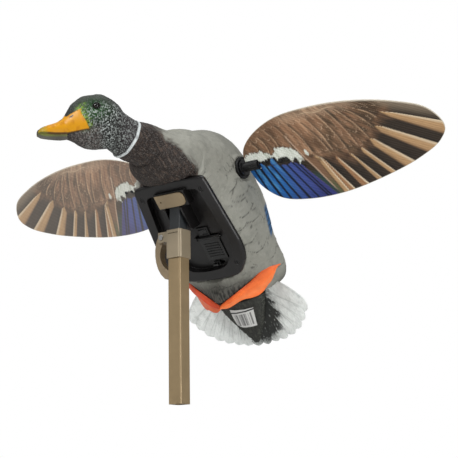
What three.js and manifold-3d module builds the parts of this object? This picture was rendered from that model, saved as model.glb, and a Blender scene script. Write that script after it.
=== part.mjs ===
// Motion wing decoy: a flying mallard drake on a square pole, with spinning wings on a motor driven shaft.
// Millimetres, +Z up. X points the way the bird flies, Y to its left. The origin is the middle of the
// pole section's open lower end, and the pole stands on the Z axis.
import * as THREE from 'three';
import { mergeVertices } from 'three/addons/utils/BufferGeometryUtils.js';
import Module from 'manifold-3d';

const wasm = await Module();
wasm.setup();

// ---------------------------------------------------------------- driving dimensions
const GAP = 0.3; // clearance between pieces that touch
const RUN_GAP = 0.5; // clearance round a piece that moves

// pole
const TUBE_SIDE = 19.05;
const TUBE_BORE = 16.65;
const TUBE_CORNER = 2;
const TUBE_TOP = 205;
const COLLAR_SIDE = 22.9;
const COLLAR_CORNER = 3.4;
const COLLAR_BOTTOM = 176.3;
const COLLAR_TOP = 211.4;
const PEG_SIDE = 16;
const PEG_BOTTOM = 150;
const PEG_TOP = 259;
const LEVER_PIN_Y = -20.6;
const LEVER_PIN_Z = 204.2;
const LEVER_PIN_RADIUS = 2;
const LEVER_WIDTH = 10;
const EAR_THICKNESS = 3;

// place and pitch of the bird: the wing shaft is the body's own origin
const SHAFT_X = -49.5;
const SHAFT_Z = 291.2;
const BODY_PITCH = THREE.MathUtils.degToRad(48.5);
const WING_PITCH = THREE.MathUtils.degToRad(46);

// body shell, in the body's own frame: x forward, y left, z towards the back
const SHELL_WALL = 3;
const SECTION_SIDES = 18;
const BODY_STEPS = 15;
const RING_RADIUS = 24;
const RING_CENTRE = new THREE.Vector3(93, -3, 307);
const RING_NORMAL = new THREE.Vector3(0.897, -0.253, 0.36).normalize();

// belly tray
const TRAY_FACE = -72;
const TRAY_SEAT = -66;
const TRAY_FLOOR = -63;
const TRAY_TOP = -60;
const TRAY_LIP = 10;
const TRAY_RIM = 14;

// wing drive
const SHAFT_RADIUS = 3;
const FLANGE_FACE = 63.6;
const FLANGE_RADIUS = 14;
const FLANGE_THICKNESS = 2.4;
const BUSH_RADIUS = 8;
const BUSH_DEPTH = 14;
const HUB_RADIUS = 10.5;
const HUB_DISC = 2.6;
const SLEEVE_RADIUS = 6.3;
const SLEEVE_END = 88;
const SHAFT_END = 70.5;
const MAGNET_LENGTH = 2;
const GEAR_TEETH = 40;
const PINION_TEETH = 12;
const GEAR_Y = -19;
const GEAR_WIDTH = 6;
const PINION_WIDTH = 8;
const MOTOR_RADIUS = 12;
const MOTOR_LENGTH = 32;
const MOTOR_SHAFT_RADIUS = 1.15;
const MOTOR_ANGLE = THREE.MathUtils.degToRad(-45);
const CENTRE_DISTANCE = (GEAR_TEETH + PINION_TEETH) / 2;
const BRACKET_Y = -12.5;

// wings
const SHEET_THICKNESS = 1.2;
const SHEET_Z = 0.4;
const TANG_END = 134;
const TANG_THICKNESS = 2.4;
const RIVET_Y = [96.5, 119, 129];

// battery bay
const BAY_X = -72.5;
const BAY_Y = 17;
const CELL_RADIUS = 7.1;
const CELL_LENGTH = 49.5;
const CELL_PITCH = 15;
const BAY_OPENING = 31;
const DOOR_HINGE_X = BAY_X + BAY_OPENING / 2 + 2.2;
const DOOR_HINGE_Z = -65.4;
const SWITCH_X = -46.5;
const SWITCH_Y = 13;

// tail and feet
const TAIL_ROOT_X = -134;
const TAIL_Z = -31;
const TAIL_TILT = 0.16;
const TAIL_FEATHERS = 15;
const TAIL_LENGTH = 103;
const TAIL_HALF_WIDTH = 106;
const TAIL_SPREAD = THREE.MathUtils.degToRad(66);
const TAIL_THICKNESS = 4.5;
// from the flank to the keel: where the foot's front edge lies, and its width
const FOOT_EDGES = [
  [-121, 6], [-117, 14], [-116, 28], [-119, 36], [-125, 35], [-132, 26], [-138, 19], [-143, 13], [-146, 6],
];
const FOOT_LIFT = 0.6;
const FOOT_THICKNESS = 3;
const LABEL_THICKNESS = 0.5;

// ---------------------------------------------------------------- materials
function material(color, roughness, metalness = 0) {
  return new THREE.MeshStandardMaterial({ color, roughness, metalness });
}

const finish = {
  poleMetal: material(0x8c7a5e, 0.45, 0.6),
  tanPlastic: material(0x96866e, 0.5),
  steel: material(0xb8bcc0, 0.35, 0.9),
  plumage: material(0x8c8c82, 0.75),
  headPaint: material(0x2c3a2c, 0.5),
  eye: material(0x1a120a, 0.1),
  tray: material(0x21231f, 0.5),
  peg: material(0x4b504e, 0.5),
  orange: material(0xff7d37, 0.45),
  tail: material(0xcdd2cd, 0.7),
  sticker: material(0xf0f0ee, 0.6),
  black: material(0x16171a, 0.4),
  wing: material(0x8a7058, 0.6),
  brass: material(0xb08d45, 0.35, 0.8),
  gear: material(0xe6e2d6, 0.5),
  motor: material(0x9aa0a4, 0.35, 0.85),
  cell: material(0x26282c, 0.4),
  wireRed: material(0xb02020, 0.5),
  wireBlack: material(0x1a1a1a, 0.5),
};

// ---------------------------------------------------------------- groups
const decoy = new THREE.Group();
const pole = new THREE.Group();
const body = new THREE.Group();
body.position.set(SHAFT_X, 0, SHAFT_Z);
body.rotation.y = -BODY_PITCH;
const wings = new THREE.Group();
wings.position.copy(body.position);
wings.rotation.y = -WING_PITCH;
decoy.add(pole, body, wings);
decoy.updateMatrixWorld(true);
const toBody = body.matrixWorld.clone().invert();

// ---------------------------------------------------------------- solid helpers
function solid(geometry) {
  const clean = geometry.clone();
  clean.deleteAttribute('normal');
  clean.deleteAttribute('uv');
  const merged = mergeVertices(clean, 1e-4);
  const count = merged.attributes.position.count;
  const vertProperties = new Float32Array(merged.attributes.position.array.slice(0, count * 3));
  const triVerts = new Uint32Array(merged.index.array);
  return new wasm.Manifold(new wasm.Mesh({ numProp: 3, vertProperties, triVerts }));
}

function geometryOf(shape) {
  const mesh = shape.getMesh();
  const geometry = new THREE.BufferGeometry();
  geometry.setAttribute('position', new THREE.BufferAttribute(new Float32Array(mesh.vertProperties), 3));
  geometry.setIndex(new THREE.BufferAttribute(new Uint32Array(mesh.triVerts), 1));
  geometry.computeVertexNormals();
  return geometry;
}

function add(group, name, shape, look) {
  const mesh = new THREE.Mesh(shape.isBufferGeometry ? shape : geometryOf(shape), look);
  mesh.name = name;
  group.add(mesh);
  return mesh;
}

const join = (first, ...others) => others.reduce((sum, other) => sum.add(other), first);
const cut = (first, ...others) => others.reduce((rest, other) => rest.subtract(other), first);

function box(x0, x1, y0, y1, z0, z1) {
  const geometry = new THREE.BoxGeometry(x1 - x0, y1 - y0, z1 - z0);
  geometry.translate((x0 + x1) / 2, (y0 + y1) / 2, (z0 + z1) / 2);
  return geometry;
}

// a cylinder along one axis, between two places on it
function rod(axis, radius, from, to, centre = [0, 0], sides = 16) {
  const geometry = new THREE.CylinderGeometry(radius, radius, to - from, sides);
  const middle = (from + to) / 2;
  if (axis === 'y') {
    geometry.translate(centre[0], middle, centre[1]);
  } else if (axis === 'z') {
    geometry.rotateX(Math.PI / 2);
    geometry.translate(centre[0], centre[1], middle);
  } else {
    geometry.rotateZ(Math.PI / 2);
    geometry.translate(middle, centre[0], centre[1]);
  }
  return geometry;
}

function roundedSquare(side, corner) {
  const half = side / 2;
  const shape = new THREE.Shape();
  shape.moveTo(half, -half + corner);
  shape.absarc(half - corner, half - corner, corner, 0, Math.PI / 2);
  shape.absarc(-half + corner, half - corner, corner, Math.PI / 2, Math.PI);
  shape.absarc(-half + corner, -half + corner, corner, Math.PI, 1.5 * Math.PI);
  shape.absarc(half - corner, -half + corner, corner, 1.5 * Math.PI, 2 * Math.PI);
  return shape;
}

function extrude(shape, from, to, options = {}) {
  const depth = to - from;
  const settings = { depth, bevelEnabled: false, curveSegments: 3, ...options };
  const geometry = new THREE.ExtrudeGeometry(shape, settings);
  geometry.translate(0, 0, from);
  return geometry;
}

// an outline drawn in x and z, with z turned down, extruded along y
function placeSlab(shape, from, to) {
  const geometry = new THREE.ExtrudeGeometry(shape, { depth: to - from, bevelEnabled: false });
  // shape x stays x, shape y becomes -z, depth becomes y
  geometry.applyMatrix4(new THREE.Matrix4().set(1, 0, 0, 0, 0, 0, 1, from, 0, -1, 0, 0, 0, 0, 0, 1));
  return geometry;
}

// skins a row of equal rings of points, with a flat fan on each end
function loft(rings) {
  const sides = rings[0].length;
  const positions = rings.flat().flatMap((p) => [p.x, p.y, p.z]);
  const index = [];
  for (let r = 0; r < rings.length - 1; r++) {
    for (let s = 0; s < sides; s++) {
      const a = r * sides + s;
      const b = r * sides + ((s + 1) % sides);
      index.push(a, b, b + sides, a, b + sides, a + sides);
    }
  }
  [0, rings.length - 1].forEach((r) => {
    const centre = rings[r].reduce((sum, p) => sum.add(p), new THREE.Vector3()).divideScalar(sides);
    const hub = positions.length / 3;
    positions.push(centre.x, centre.y, centre.z);
    for (let s = 0; s < sides; s++) {
      const a = r * sides + s;
      const b = r * sides + ((s + 1) % sides);
      index.push(...(r === 0 ? [hub, b, a] : [hub, a, b]));
    }
  });
  const geometry = new THREE.BufferGeometry();
  geometry.setAttribute('position', new THREE.Float32BufferAttribute(positions, 3));
  geometry.setIndex(index);
  geometry.computeVertexNormals();
  return geometry;
}

// one section: an oval with its own half width, height above and depth below, square across the tangent
function section(centre, tangent, up, [width, above, below], squareness = [2.2, 2.2], sides = SECTION_SIDES) {
  const left = up.clone().cross(tangent).normalize();
  const top = tangent.clone().cross(left).normalize();
  const ring = [];
  for (let i = 0; i < sides; i++) {
    const angle = (i / sides) * 2 * Math.PI;
    const power = 2 / (Math.sin(angle) >= 0 ? squareness[0] : squareness[1]);
    const across = Math.sign(Math.cos(angle)) * Math.abs(Math.cos(angle)) ** power * width;
    const upward = Math.sign(Math.sin(angle)) * Math.abs(Math.sin(angle)) ** power;
    const height = upward * (upward >= 0 ? above : below);
    ring.push(centre.clone().addScaledVector(left, across).addScaledVector(top, height));
  }
  return ring;
}

// a row of sections through hand-set stations, smoothed between them
function sweep(stations, steps, up, shrink = 0, sides = SECTION_SIDES) {
  const spine = new THREE.CatmullRomCurve3(stations.map((s) => s.at));
  const sizes = new THREE.CatmullRomCurve3(stations.map((s) => new THREE.Vector3(...s.size)));
  const shapes = new THREE.CatmullRomCurve3(stations.map((s) => new THREE.Vector3(...s.square, 0)));
  const rings = [];
  for (let i = 0; i <= steps; i++) {
    const t = i / steps;
    const size = sizes.getPoint(t).toArray().map((value) => value - shrink);
    const square = shapes.getPoint(t).toArray();
    rings.push(section(spine.getPoint(t), spine.getTangent(t), up, size, square, sides));
  }
  return rings;
}

const station = (x, y, z, width, above, below, top = 2.2, bottom = 2.2) =>
  ({ at: new THREE.Vector3(x, y, z), size: [width, above, below], square: [top, bottom] });

// ---------------------------------------------------------------- pole
function poleTube() {
  const outline = roundedSquare(TUBE_SIDE, TUBE_CORNER);
  outline.holes.push(roundedSquare(TUBE_BORE, TUBE_CORNER / 2));
  return extrude(outline, 0, TUBE_TOP);
}

function poleCollar() {
  const block = solid(extrude(roundedSquare(COLLAR_SIDE, COLLAR_CORNER), COLLAR_BOTTOM, COLLAR_TOP));
  const half = COLLAR_SIDE / 2;
  const ear = (x0) => solid(box(x0, x0 + EAR_THICKNESS, LEVER_PIN_Y - 5, -half + 2,
    LEVER_PIN_Z - 6.5, LEVER_PIN_Z + 6.5));
  const earIn = LEVER_WIDTH / 2 + RUN_GAP;
  const tubeSocket = solid(extrude(roundedSquare(TUBE_SIDE + 2 * GAP, TUBE_CORNER), 0, TUBE_TOP + GAP));
  const pegHole = solid(extrude(roundedSquare(PEG_SIDE + 2 * GAP, 1), 0, COLLAR_TOP + 1));
  const slot = solid(box(half - 1.2, half + 1, -7.5, 7.5, 206.4, 207.6));
  const pinHole = solid(rod('x', LEVER_PIN_RADIUS + GAP, -20, 20, [LEVER_PIN_Y, LEVER_PIN_Z], 16));
  return cut(join(block, ear(earIn), ear(-earIn - EAR_THICKNESS)), tubeSocket, pegHole, slot, pinHole);
}

function clampLever() {
  const outline = new THREE.Shape();
  outline.moveTo(-14.2, 200);
  outline.absarc(LEVER_PIN_Y, LEVER_PIN_Z, 7.5, -0.6, Math.PI - 0.3);
  outline.bezierCurveTo(-35, 200, -38, 168, -17.5, 152.6);
  outline.lineTo(-11, 152.6);
  outline.lineTo(-11, 162);
  outline.bezierCurveTo(-24, 168, -29.5, 182, -21.5, 196.5);
  const geometry = extrude(outline, -LEVER_WIDTH / 2, LEVER_WIDTH / 2, { curveSegments: 8 });
  // outline x is the frame's y, outline y is z, and the depth lies along x
  geometry.applyMatrix4(new THREE.Matrix4().set(0, 0, 1, 0, 1, 0, 0, 0, 0, 1, 0, 0, 0, 0, 0, 1));
  const bore = rod('x', LEVER_PIN_RADIUS + GAP, -20, 20, [LEVER_PIN_Y, LEVER_PIN_Z], 16);
  return cut(solid(geometry), solid(bore));
}

function leverPin() {
  const reach = LEVER_WIDTH / 2 + RUN_GAP + EAR_THICKNESS;
  const centre = [LEVER_PIN_Y, LEVER_PIN_Z];
  const shank = solid(rod('x', LEVER_PIN_RADIUS, -reach - 1, reach + 1, centre, 16));
  const head = (x) => solid(rod('x', 3.4, x, x + 1, centre, 16));
  return join(shank, head(reach + GAP), head(-reach - GAP - 1));
}

// ---------------------------------------------------------------- body shell
const BACK = new THREE.Vector3(0, 0, 1);
const ringCentre = RING_CENTRE.clone().applyMatrix4(toBody);
const ringNormal = RING_NORMAL.clone().transformDirection(toBody);
const bodyStations = [
  station(-166, 0, -30, 24, 14, 8, 2, 2),
  station(-156, 0, -29, 46, 28, 18, 2, 2),
  station(-146, 0, -28, 65, 41, 54, 1.9, 1.2),
  station(-124, 0, -26, 72, 50, 49, 1.9, 1.6),
  station(-90, 0, -26, 73.5, 57, 43, 1.9, 2.6),
  station(-45, 0, -20, 74, 66, 48, 1.9, 3),
  station(0, 0, -18, 64.5, 76, 50, 1.9, 3),
  station(36, 0, -36, 55, 48, 36, 1.9, 2.6),
  station(62, 0, -58, 47, 34, 33, 2, 2.2),
  station(86, -1, -71, 28.5, 22, 29, 2, 2),
];

// sections of the body, which end square across the neck at the white ring
function bodyRings(shrink) {
  const neck = ringCentre.clone().addScaledVector(ringNormal, -GAP / 2 - shrink);
  const end = { at: neck, size: [RING_RADIUS, RING_RADIUS, RING_RADIUS], square: [2, 2] };
  const rings = sweep([...bodyStations, end], BODY_STEPS, BACK, shrink);
  rings[rings.length - 1] = section(neck, ringNormal, BACK, end.size.map((v) => v - shrink), [2, 2]);
  return rings;
}

function trayOutline(inset) {
  const shape = new THREE.Shape();
  const front = 30 - inset;
  const rear = -111 + inset;
  const half = (v) => v - inset;
  shape.moveTo(front, -half(46));
  shape.quadraticCurveTo(front + 5, 0, front, half(46));
  shape.quadraticCurveTo(front + 1, half(55), front - 9, half(55.5));
  shape.lineTo(-62 + inset * 0.3, half(64));
  shape.quadraticCurveTo(-88 + inset * 0.5, half(66), rear + 9, half(50));
  shape.quadraticCurveTo(rear, half(44), rear - 1, half(30));
  shape.quadraticCurveTo(rear - 3, 0, rear - 1, -half(30));
  shape.quadraticCurveTo(rear, -half(44), rear + 9, -half(50));
  shape.quadraticCurveTo(-88 + inset * 0.5, -half(66), -62 + inset * 0.3, -half(64));
  shape.lineTo(front - 9, -half(55.5));
  shape.quadraticCurveTo(front + 1, -half(55), front, -half(46));
  return shape;
}

const screwSpots = [[14, 45], [14, -45], [-92, 46], [-92, -46]].map(([x, y]) => ({ x, y: y * 1.02 }));

function bodyShell(tailSlot) {
  const outer = solid(loft(bodyRings(0)));
  const inner = solid(loft(bodyRings(SHELL_WALL).slice(1)));
  const boss = (side) => solid(rod('y', FLANGE_RADIUS, ...(side > 0 ? [46, 61] : [-61, -46])));
  const seat = FLANGE_FACE - FLANGE_THICKNESS - GAP;
  const clear = (side) => solid(rod('y', FLANGE_RADIUS + GAP, ...(side > 0 ? [seat, 100] : [-100, -seat])));
  const bore = solid(rod('y', BUSH_RADIUS + GAP, -100, 100));
  const trayBed = solid(extrude(trayOutline(-RUN_GAP), -140, TRAY_SEAT + GAP));
  const opening = solid(extrude(trayOutline(TRAY_LIP), -140, -45));
  const screws = screwSpots.map(({ x, y }) => solid(rod('z', 1.9, -80, -50, [x, y], 8)));
  const hollow = cut(outer, inner);
  const filled = join(hollow, boss(1), boss(-1));
  return cut(filled, clear(1), clear(-1), bore, trayBed, opening, ...screws, tailSlot);
}

// ---------------------------------------------------------------- head
// the head has a frame of its own: x along the bill, y to its left, z to the crown
const HEAD_CENTRE = new THREE.Vector3(138, -15.7, 325);
const HEAD_YAW = THREE.MathUtils.degToRad(-38);
const HEAD_NOD = THREE.MathUtils.degToRad(14);
const headFrame = new THREE.Matrix4().makeRotationZ(HEAD_YAW)
  .multiply(new THREE.Matrix4().makeRotationY(HEAD_NOD)).setPosition(HEAD_CENTRE);
const UP = new THREE.Vector3(0, 0, 1);
const EYE_RADIUS = 4.6;
const EYE_PLACE = [-2, 19, 8];

const neckStations = [
  { at: RING_CENTRE.clone().addScaledVector(RING_NORMAL, GAP / 2), size: [24, 24, 24], square: [2, 2] },
  station(109, -8, 313.5, 24, 24.5, 21, 2, 2),
  station(123, -12.5, 321, 23, 25, 22, 2, 2),
  station(134, -16, 323, 19, 21, 23, 2, 2),
];
const skullStations = [
  station(-36, 0, -8, 7, 6, 8, 2, 2),
  station(-28, 0, -7, 18, 19, 22, 2, 2),
  station(-12, 0, -6, 23, 31.5, 33.5, 2.1, 2.1),
  station(6, 0, -6, 22.5, 32.5, 32, 2.1, 2.1),
  station(20, 0, -6, 18.5, 26, 28, 2.1, 2.1),
  station(29, 0, -7, 14.5, 15.5, 22, 2, 2),
  station(37, 0, -9, 11.5, 9.5, 13.5, 2, 2),
  station(44, 0, -11, 5, 4, 6, 2, 2),
];
const billStations = [
  station(14, 0, -6, 13, 12, 14, 2, 2),
  station(30, 0, -8, 13, 12.5, 13, 2, 2),
  station(43, 0, -9.5, 12.7, 10.3, 11, 2, 2),
  station(56, 0, -9.5, 13.8, 8, 7, 2.2, 2.2),
  station(63.5, 0, -9, 12.2, 5, 4.6, 2.3, 2.3),
  station(67.3, 0, -8.8, 7.5, 3, 2.6, 2.2, 2.2),
];

const inHeadFrame = (geometry) => solid(geometry.applyMatrix4(headFrame));

function ball(radius, [x, y, z]) {
  const geometry = new THREE.SphereGeometry(radius, 12, 8);
  geometry.translate(x, y, z);
  return inHeadFrame(geometry);
}

const eyeSpot = (side) => [EYE_PLACE[0], side * EYE_PLACE[1], EYE_PLACE[2]];

function headShell() {
  const skin = (shrink) => {
    const rings = sweep(neckStations, 5, UP, shrink, 18);
    const start = neckStations[0].at.clone().addScaledVector(RING_NORMAL, shrink ? -1 : 0);
    rings[0] = section(start, RING_NORMAL, UP, neckStations[0].size.map((v) => v - shrink), [2, 2], 18);
    return solid(loft(rings));
  };
  const wall = SHELL_WALL + 0.5;
  const skull = inHeadFrame(loft(sweep(skullStations, 9, UP, 0, 18)));
  const bill = inHeadFrame(loft(sweep(billStations, 7, UP, 0, 14)));
  const brainCase = inHeadFrame(loft(sweep(skullStations.slice(1, 5), 4, UP, wall, 14)));
  const sockets = [1, -1].map((side) => ball(EYE_RADIUS + GAP, eyeSpot(side)));
  return cut(join(skin(0), skull, bill), skin(wall), brainCase, ...sockets);
}

// ---------------------------------------------------------------- tail and feet
function tailShape(grow) {
  const shape = new THREE.Shape();
  shape.moveTo(0, -24 - grow);
  const reach = (angle, scale) => [
    -(TAIL_LENGTH * scale + grow) * Math.cos(angle), (TAIL_HALF_WIDTH * scale + grow) * Math.sin(angle)];
  const step = (2 * TAIL_SPREAD) / TAIL_FEATHERS;
  for (let i = 0; i < TAIL_FEATHERS; i++) {
    const start = -TAIL_SPREAD + i * step;
    shape.lineTo(...reach(start, 0.93));
    shape.lineTo(...reach(start + step * 0.2, 0.985));
    shape.lineTo(...reach(start + step * 0.5, 1));
    shape.lineTo(...reach(start + step * 0.8, 0.985));
  }
  shape.lineTo(...reach(TAIL_SPREAD, 0.93));
  shape.lineTo(0, 24 + grow);
  return shape;
}

function tailFan(grow) {
  const plate = extrude(tailShape(grow), -TAIL_THICKNESS / 2 - grow, TAIL_THICKNESS / 2 + grow);
  plate.rotateY(-TAIL_TILT);
  plate.translate(TAIL_ROOT_X, 0, TAIL_Z);
  return solid(plate).add(tailCoverts(grow));
}

// the rounded wedge of short feathers under the tail
function tailCoverts(grow) {
  return solid(loft(sweep([
    station(-226, 0, -46, 4, 1.5, 3, 2, 2),
    station(-205, 0, -43, 18, 3, 10, 2, 2),
    station(-180, 0, -39, 31, 4, 20, 2, 2),
    station(-160, 0, -36, 38, 4, 26, 2, 2),
  ], 6, BACK, -grow, 16)));
}

// a thin label that follows the curve of the tail's wedge
function labelSticker() {
  const corners = [[-166, -8], [-170, 24], [-199, 15], [-198, -6], [-194, -13]];
  const shape = new THREE.Shape(corners.map(([x, y]) => new THREE.Vector2(x, y)));
  const outline = solid(extrude(shape, -80, -45));
  return cut(tailCoverts(GAP + LABEL_THICKNESS).intersect(outline), tailCoverts(GAP));
}

// a webbed foot folded back against the belly's end: it follows the shell's skin from the flank to the keel
function foot(side, grow = 0) {
  const spine = new THREE.CatmullRomCurve3(bodyStations.map((s) => s.at));
  const sizes = new THREE.CatmullRomCurve3(bodyStations.map((s) => new THREE.Vector3(...s.size)));
  const rear = bodyStations[2];
  const skin = (x, angle, offset) => {
    const along = THREE.MathUtils.clamp((x - rear.at.x) / (bodyStations[3].at.x - rear.at.x), 0, 1);
    const t = (2 + along) / (bodyStations.length - 1);
    const [width, , below] = sizes.getPoint(t).toArray();
    const bottom = THREE.MathUtils.lerp(rear.square[1], bodyStations[3].square[1], along);
    const across = Math.cos(angle) ** (2 / bottom) * (width + offset);
    const down = Math.sin(angle) ** (2 / bottom) * (below + offset);
    return new THREE.Vector3(x, side * across, spine.getPoint(t).z - down);
  };
  const rings = FOOT_EDGES.map(([front0, width], i) => {
    const t = i / (FOOT_EDGES.length - 1);
    const angle = THREE.MathUtils.degToRad(THREE.MathUtils.lerp(2, 89, t));
    const front = front0 + grow;
    const inner = FOOT_LIFT - grow;
    const outer = FOOT_LIFT + FOOT_THICKNESS + grow;
    const edge = front - width - 2 * grow;
    const corners = [[front, outer], [edge, outer], [edge, inner], [front, inner]];
    return corners.map(([x, at]) => skin(x, angle, at));
  });
  return solidOut(loft(rings));
}

// turns a skin the right way out where its rings run the other way round
function solidOut(geometry) {
  const flipped = geometry.clone();
  const index = flipped.index.array;
  const p = flipped.attributes.position;
  const corner = (i) => new THREE.Vector3().fromBufferAttribute(p, index[i]);
  let volume = 0;
  for (let i = 0; i < index.length; i += 3) {
    volume += corner(i).dot(corner(i + 1).cross(corner(i + 2)));
  }
  if (volume < 0) {
    for (let i = 0; i < index.length; i += 3) {
      [index[i + 1], index[i + 2]] = [index[i + 2], index[i + 1]];
    }
  }
  return solid(flipped);
}

// ---------------------------------------------------------------- belly tray and peg
function pegPost(side, top) {
  const post = extrude(roundedSquare(side, 1), PEG_BOTTOM, top);
  return solid(post.applyMatrix4(toBody));
}

function bellyTray() {
  const bevel = 2.5;
  const rimShape = trayOutline(0);
  const rim = solid(extrude(rimShape, TRAY_FACE + bevel, TRAY_SEAT, { curveSegments: 3 }));
  const bevelled = new THREE.ExtrudeGeometry(rimShape, {
    depth: 0.5, bevelEnabled: true, bevelThickness: bevel, bevelSize: bevel, bevelOffset: -bevel,
    bevelSegments: 2, curveSegments: 3,
  });
  bevelled.translate(0, 0, TRAY_FACE + bevel);
  const pan = solid(extrude(trayOutline(TRAY_LIP + GAP), TRAY_SEAT - 1, TRAY_TOP, { curveSegments: 3 }));
  const recess = solid(extrude(trayOutline(TRAY_RIM), TRAY_FACE - 5, TRAY_FLOOR, { curveSegments: 3 }));
  const boss = solid(box(-1, 20, -23, 23, -77, TRAY_FLOOR + 0.5));
  const cheekPoints = [[-0.5, 62], [-0.5, 82.5], [-28, 83.5], [-33, 80], [-36, 62]];
  const cheekShape = new THREE.Shape(cheekPoints.map(([x, z]) => new THREE.Vector2(x, z)));
  const cheek = (y) => solid(placeSlab(cheekShape, y, y + 2.5));
  const ear = (y) => solid(box(DOOR_HINGE_X - 2.4, DOOR_HINGE_X + 2.6, y, y + 3,
    DOOR_HINGE_Z - 2.4, TRAY_FLOOR + 0.5));
  const halfBay = BAY_OPENING / 2;
  const bay = solid(box(BAY_X - halfBay, DOOR_HINGE_X + 2.7, BAY_Y - halfBay, BAY_Y + halfBay, -70, -50));
  const switchHole = solid(box(SWITCH_X - 4.8, SWITCH_X + 4.8, SWITCH_Y - 7.3, SWITCH_Y + 7.3, -70, -50));
  const pinHole = solid(rod('y', 1.3, BAY_Y - 30, BAY_Y + 30, [DOOR_HINGE_X, DOOR_HINGE_Z], 12));
  const screws = screwSpots.map(({ x, y }) => solid(rod('z', 1.9, -80, -50, [x, y], 8)));
  const heads = screwSpots.map(({ x, y }) => solid(rod('z', 3.6, -80, TRAY_FACE + 2.6, [x, y], 8)));
  const bracketHoles = bracketSpots.map(([x, y]) => solid(rod('z', 1.7, -62.3, -50, [x, y], 8)));
  const latchSlot = solid(box(LATCH.x - 1.9, LATCH.x + 1.9, LATCH.y - 4, LATCH.y + 12, -70, -50));
  const plate = cut(join(rim, solid(bevelled), pan), recess);
  const ears = [ear(BAY_Y - halfBay - 3.5), ear(BAY_Y + halfBay + 0.5)];
  const full = join(plate, boss, cheek(11.5), cheek(-14), ...ears);
  return cut(full, bay, switchHole, pinHole, latchSlot, pegPost(PEG_SIDE + 2 * GAP, PEG_TOP + 20),
    ...screws, ...heads, ...bracketHoles);
}

const LATCH = { x: BAY_X - BAY_OPENING / 2 - 5, y: 11 };
const bracketSpots = [[-2, -25], [26, -25]];

function mountingPeg() {
  const post = pegPost(PEG_SIDE, PEG_TOP + 6);
  const flange = solid(box(-16, 27, -10.5, 10.5, TRAY_TOP + GAP, TRAY_TOP + GAP + 3));
  const above = solid(box(-80, 80, -60, 60, TRAY_TOP + GAP + 3, 60));
  return cut(join(post, flange), above);
}

function badgePlate() {
  const shape = new THREE.Shape();
  shape.moveTo(0.5, -21);
  shape.lineTo(18.5, -21.5);
  shape.lineTo(18.5, 14);
  shape.quadraticCurveTo(18.5, 21.5, 10, 21.5);
  shape.quadraticCurveTo(0.5, 21.5, 0.5, 14);
  const hole = new THREE.Path();
  hole.absarc(9.5, -15, 1.2, 0, 2 * Math.PI);
  shape.holes.push(hole);
  return extrude(shape, -79, -77 - GAP);
}

function trayScrew({ x, y }) {
  const head = solid(rod('z', 3.2, TRAY_FACE + 0.4, TRAY_FACE + 2.3, [x, y], 8));
  const shank = solid(rod('z', 1.5, TRAY_FACE + 1, -55, [x, y], 8));
  const cross = (a, b) => solid(box(x - a, x + a, y - b, y + b, TRAY_FACE - 1, TRAY_FACE + 1.2));
  return cut(join(head, shank), cross(2, 0.4), cross(0.4, 2));
}

// ---------------------------------------------------------------- battery bay
function batteryHolder() {
  const half = BAY_OPENING / 2;
  const wall = 1.8;
  const base = TRAY_TOP + GAP;
  const top = base + CELL_LENGTH + 7;
  const block = (reach, z0, z1) =>
    solid(box(BAY_X - reach, BAY_X + reach, BAY_Y - reach, BAY_Y + reach, z0, z1));
  const shell = block(half + wall, base, top);
  const hollow = block(half, base - 1, top - wall);
  const wireHole = solid(box(BAY_X + half - 1, BAY_X + half + 4, BAY_Y - 12, BAY_Y - 4, top - 6, top - 3));
  const centreRib = block(0.7, base + 6, top - wall + 0.5);
  return cut(join(cut(shell, hollow), centreRib), wireHole);
}

function batteryCell(column, row, up) {
  const x = BAY_X + (column - 0.5) * CELL_PITCH;
  const y = BAY_Y + (row - 0.5) * CELL_PITCH;
  const profile = [[0, 0], [CELL_RADIUS - 0.6, 0], [CELL_RADIUS, 0.6], [CELL_RADIUS, CELL_LENGTH - 1.8],
    [CELL_RADIUS - 0.6, CELL_LENGTH - 1.2], [2.7, CELL_LENGTH - 1.2], [2.7, CELL_LENGTH], [0, CELL_LENGTH]];
  const geometry = new THREE.LatheGeometry(profile.map(([r, z]) => new THREE.Vector2(r, z)), 12);
  geometry.rotateX(Math.PI / 2);
  if (!up) {
    geometry.rotateX(Math.PI);
    geometry.translate(0, 0, CELL_LENGTH);
  }
  geometry.translate(x, y, TRAY_TOP + GAP + 2);
  return solid(geometry);
}

function contactPlate(z0, z1) {
  const reach = BAY_OPENING / 2 - 0.6;
  const strip = (x0, x1) => box(x0, x1, BAY_Y - reach, BAY_Y + reach, z0, z1);
  const first = solid(strip(BAY_X - reach, BAY_X - 1.6));
  const second = solid(strip(BAY_X + 1.6, BAY_X + reach));
  const bridge = solid(box(BAY_X - 2, BAY_X + 2, BAY_Y - reach, BAY_Y - reach + 3, z0, z1));
  return join(first, second, bridge);
}

function batteryDoor() {
  const half = BAY_OPENING / 2 - RUN_GAP;
  const outer = -64.6;
  const panel = solid(box(BAY_X - half, DOOR_HINGE_X, BAY_Y - half, BAY_Y + half, outer, outer + 2.2));
  const barrel = solid(rod('y', 2.1, BAY_Y - half, BAY_Y + half, [DOOR_HINGE_X, DOOR_HINGE_Z], 16));
  const ribs = [0, 1, 2, 3, 4, 5].map((i) => {
    const x = BAY_X - 11 + i * 3.6;
    return solid(box(x, x + 1.4, BAY_Y - 11, BAY_Y + 11, outer - 0.8, outer + 0.2));
  });
  const bore = solid(rod('y', 1.3, BAY_Y - 40, BAY_Y + 40, [DOOR_HINGE_X, DOOR_HINGE_Z], 12));
  return cut(join(panel, barrel, ...ribs), bore);
}

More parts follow.
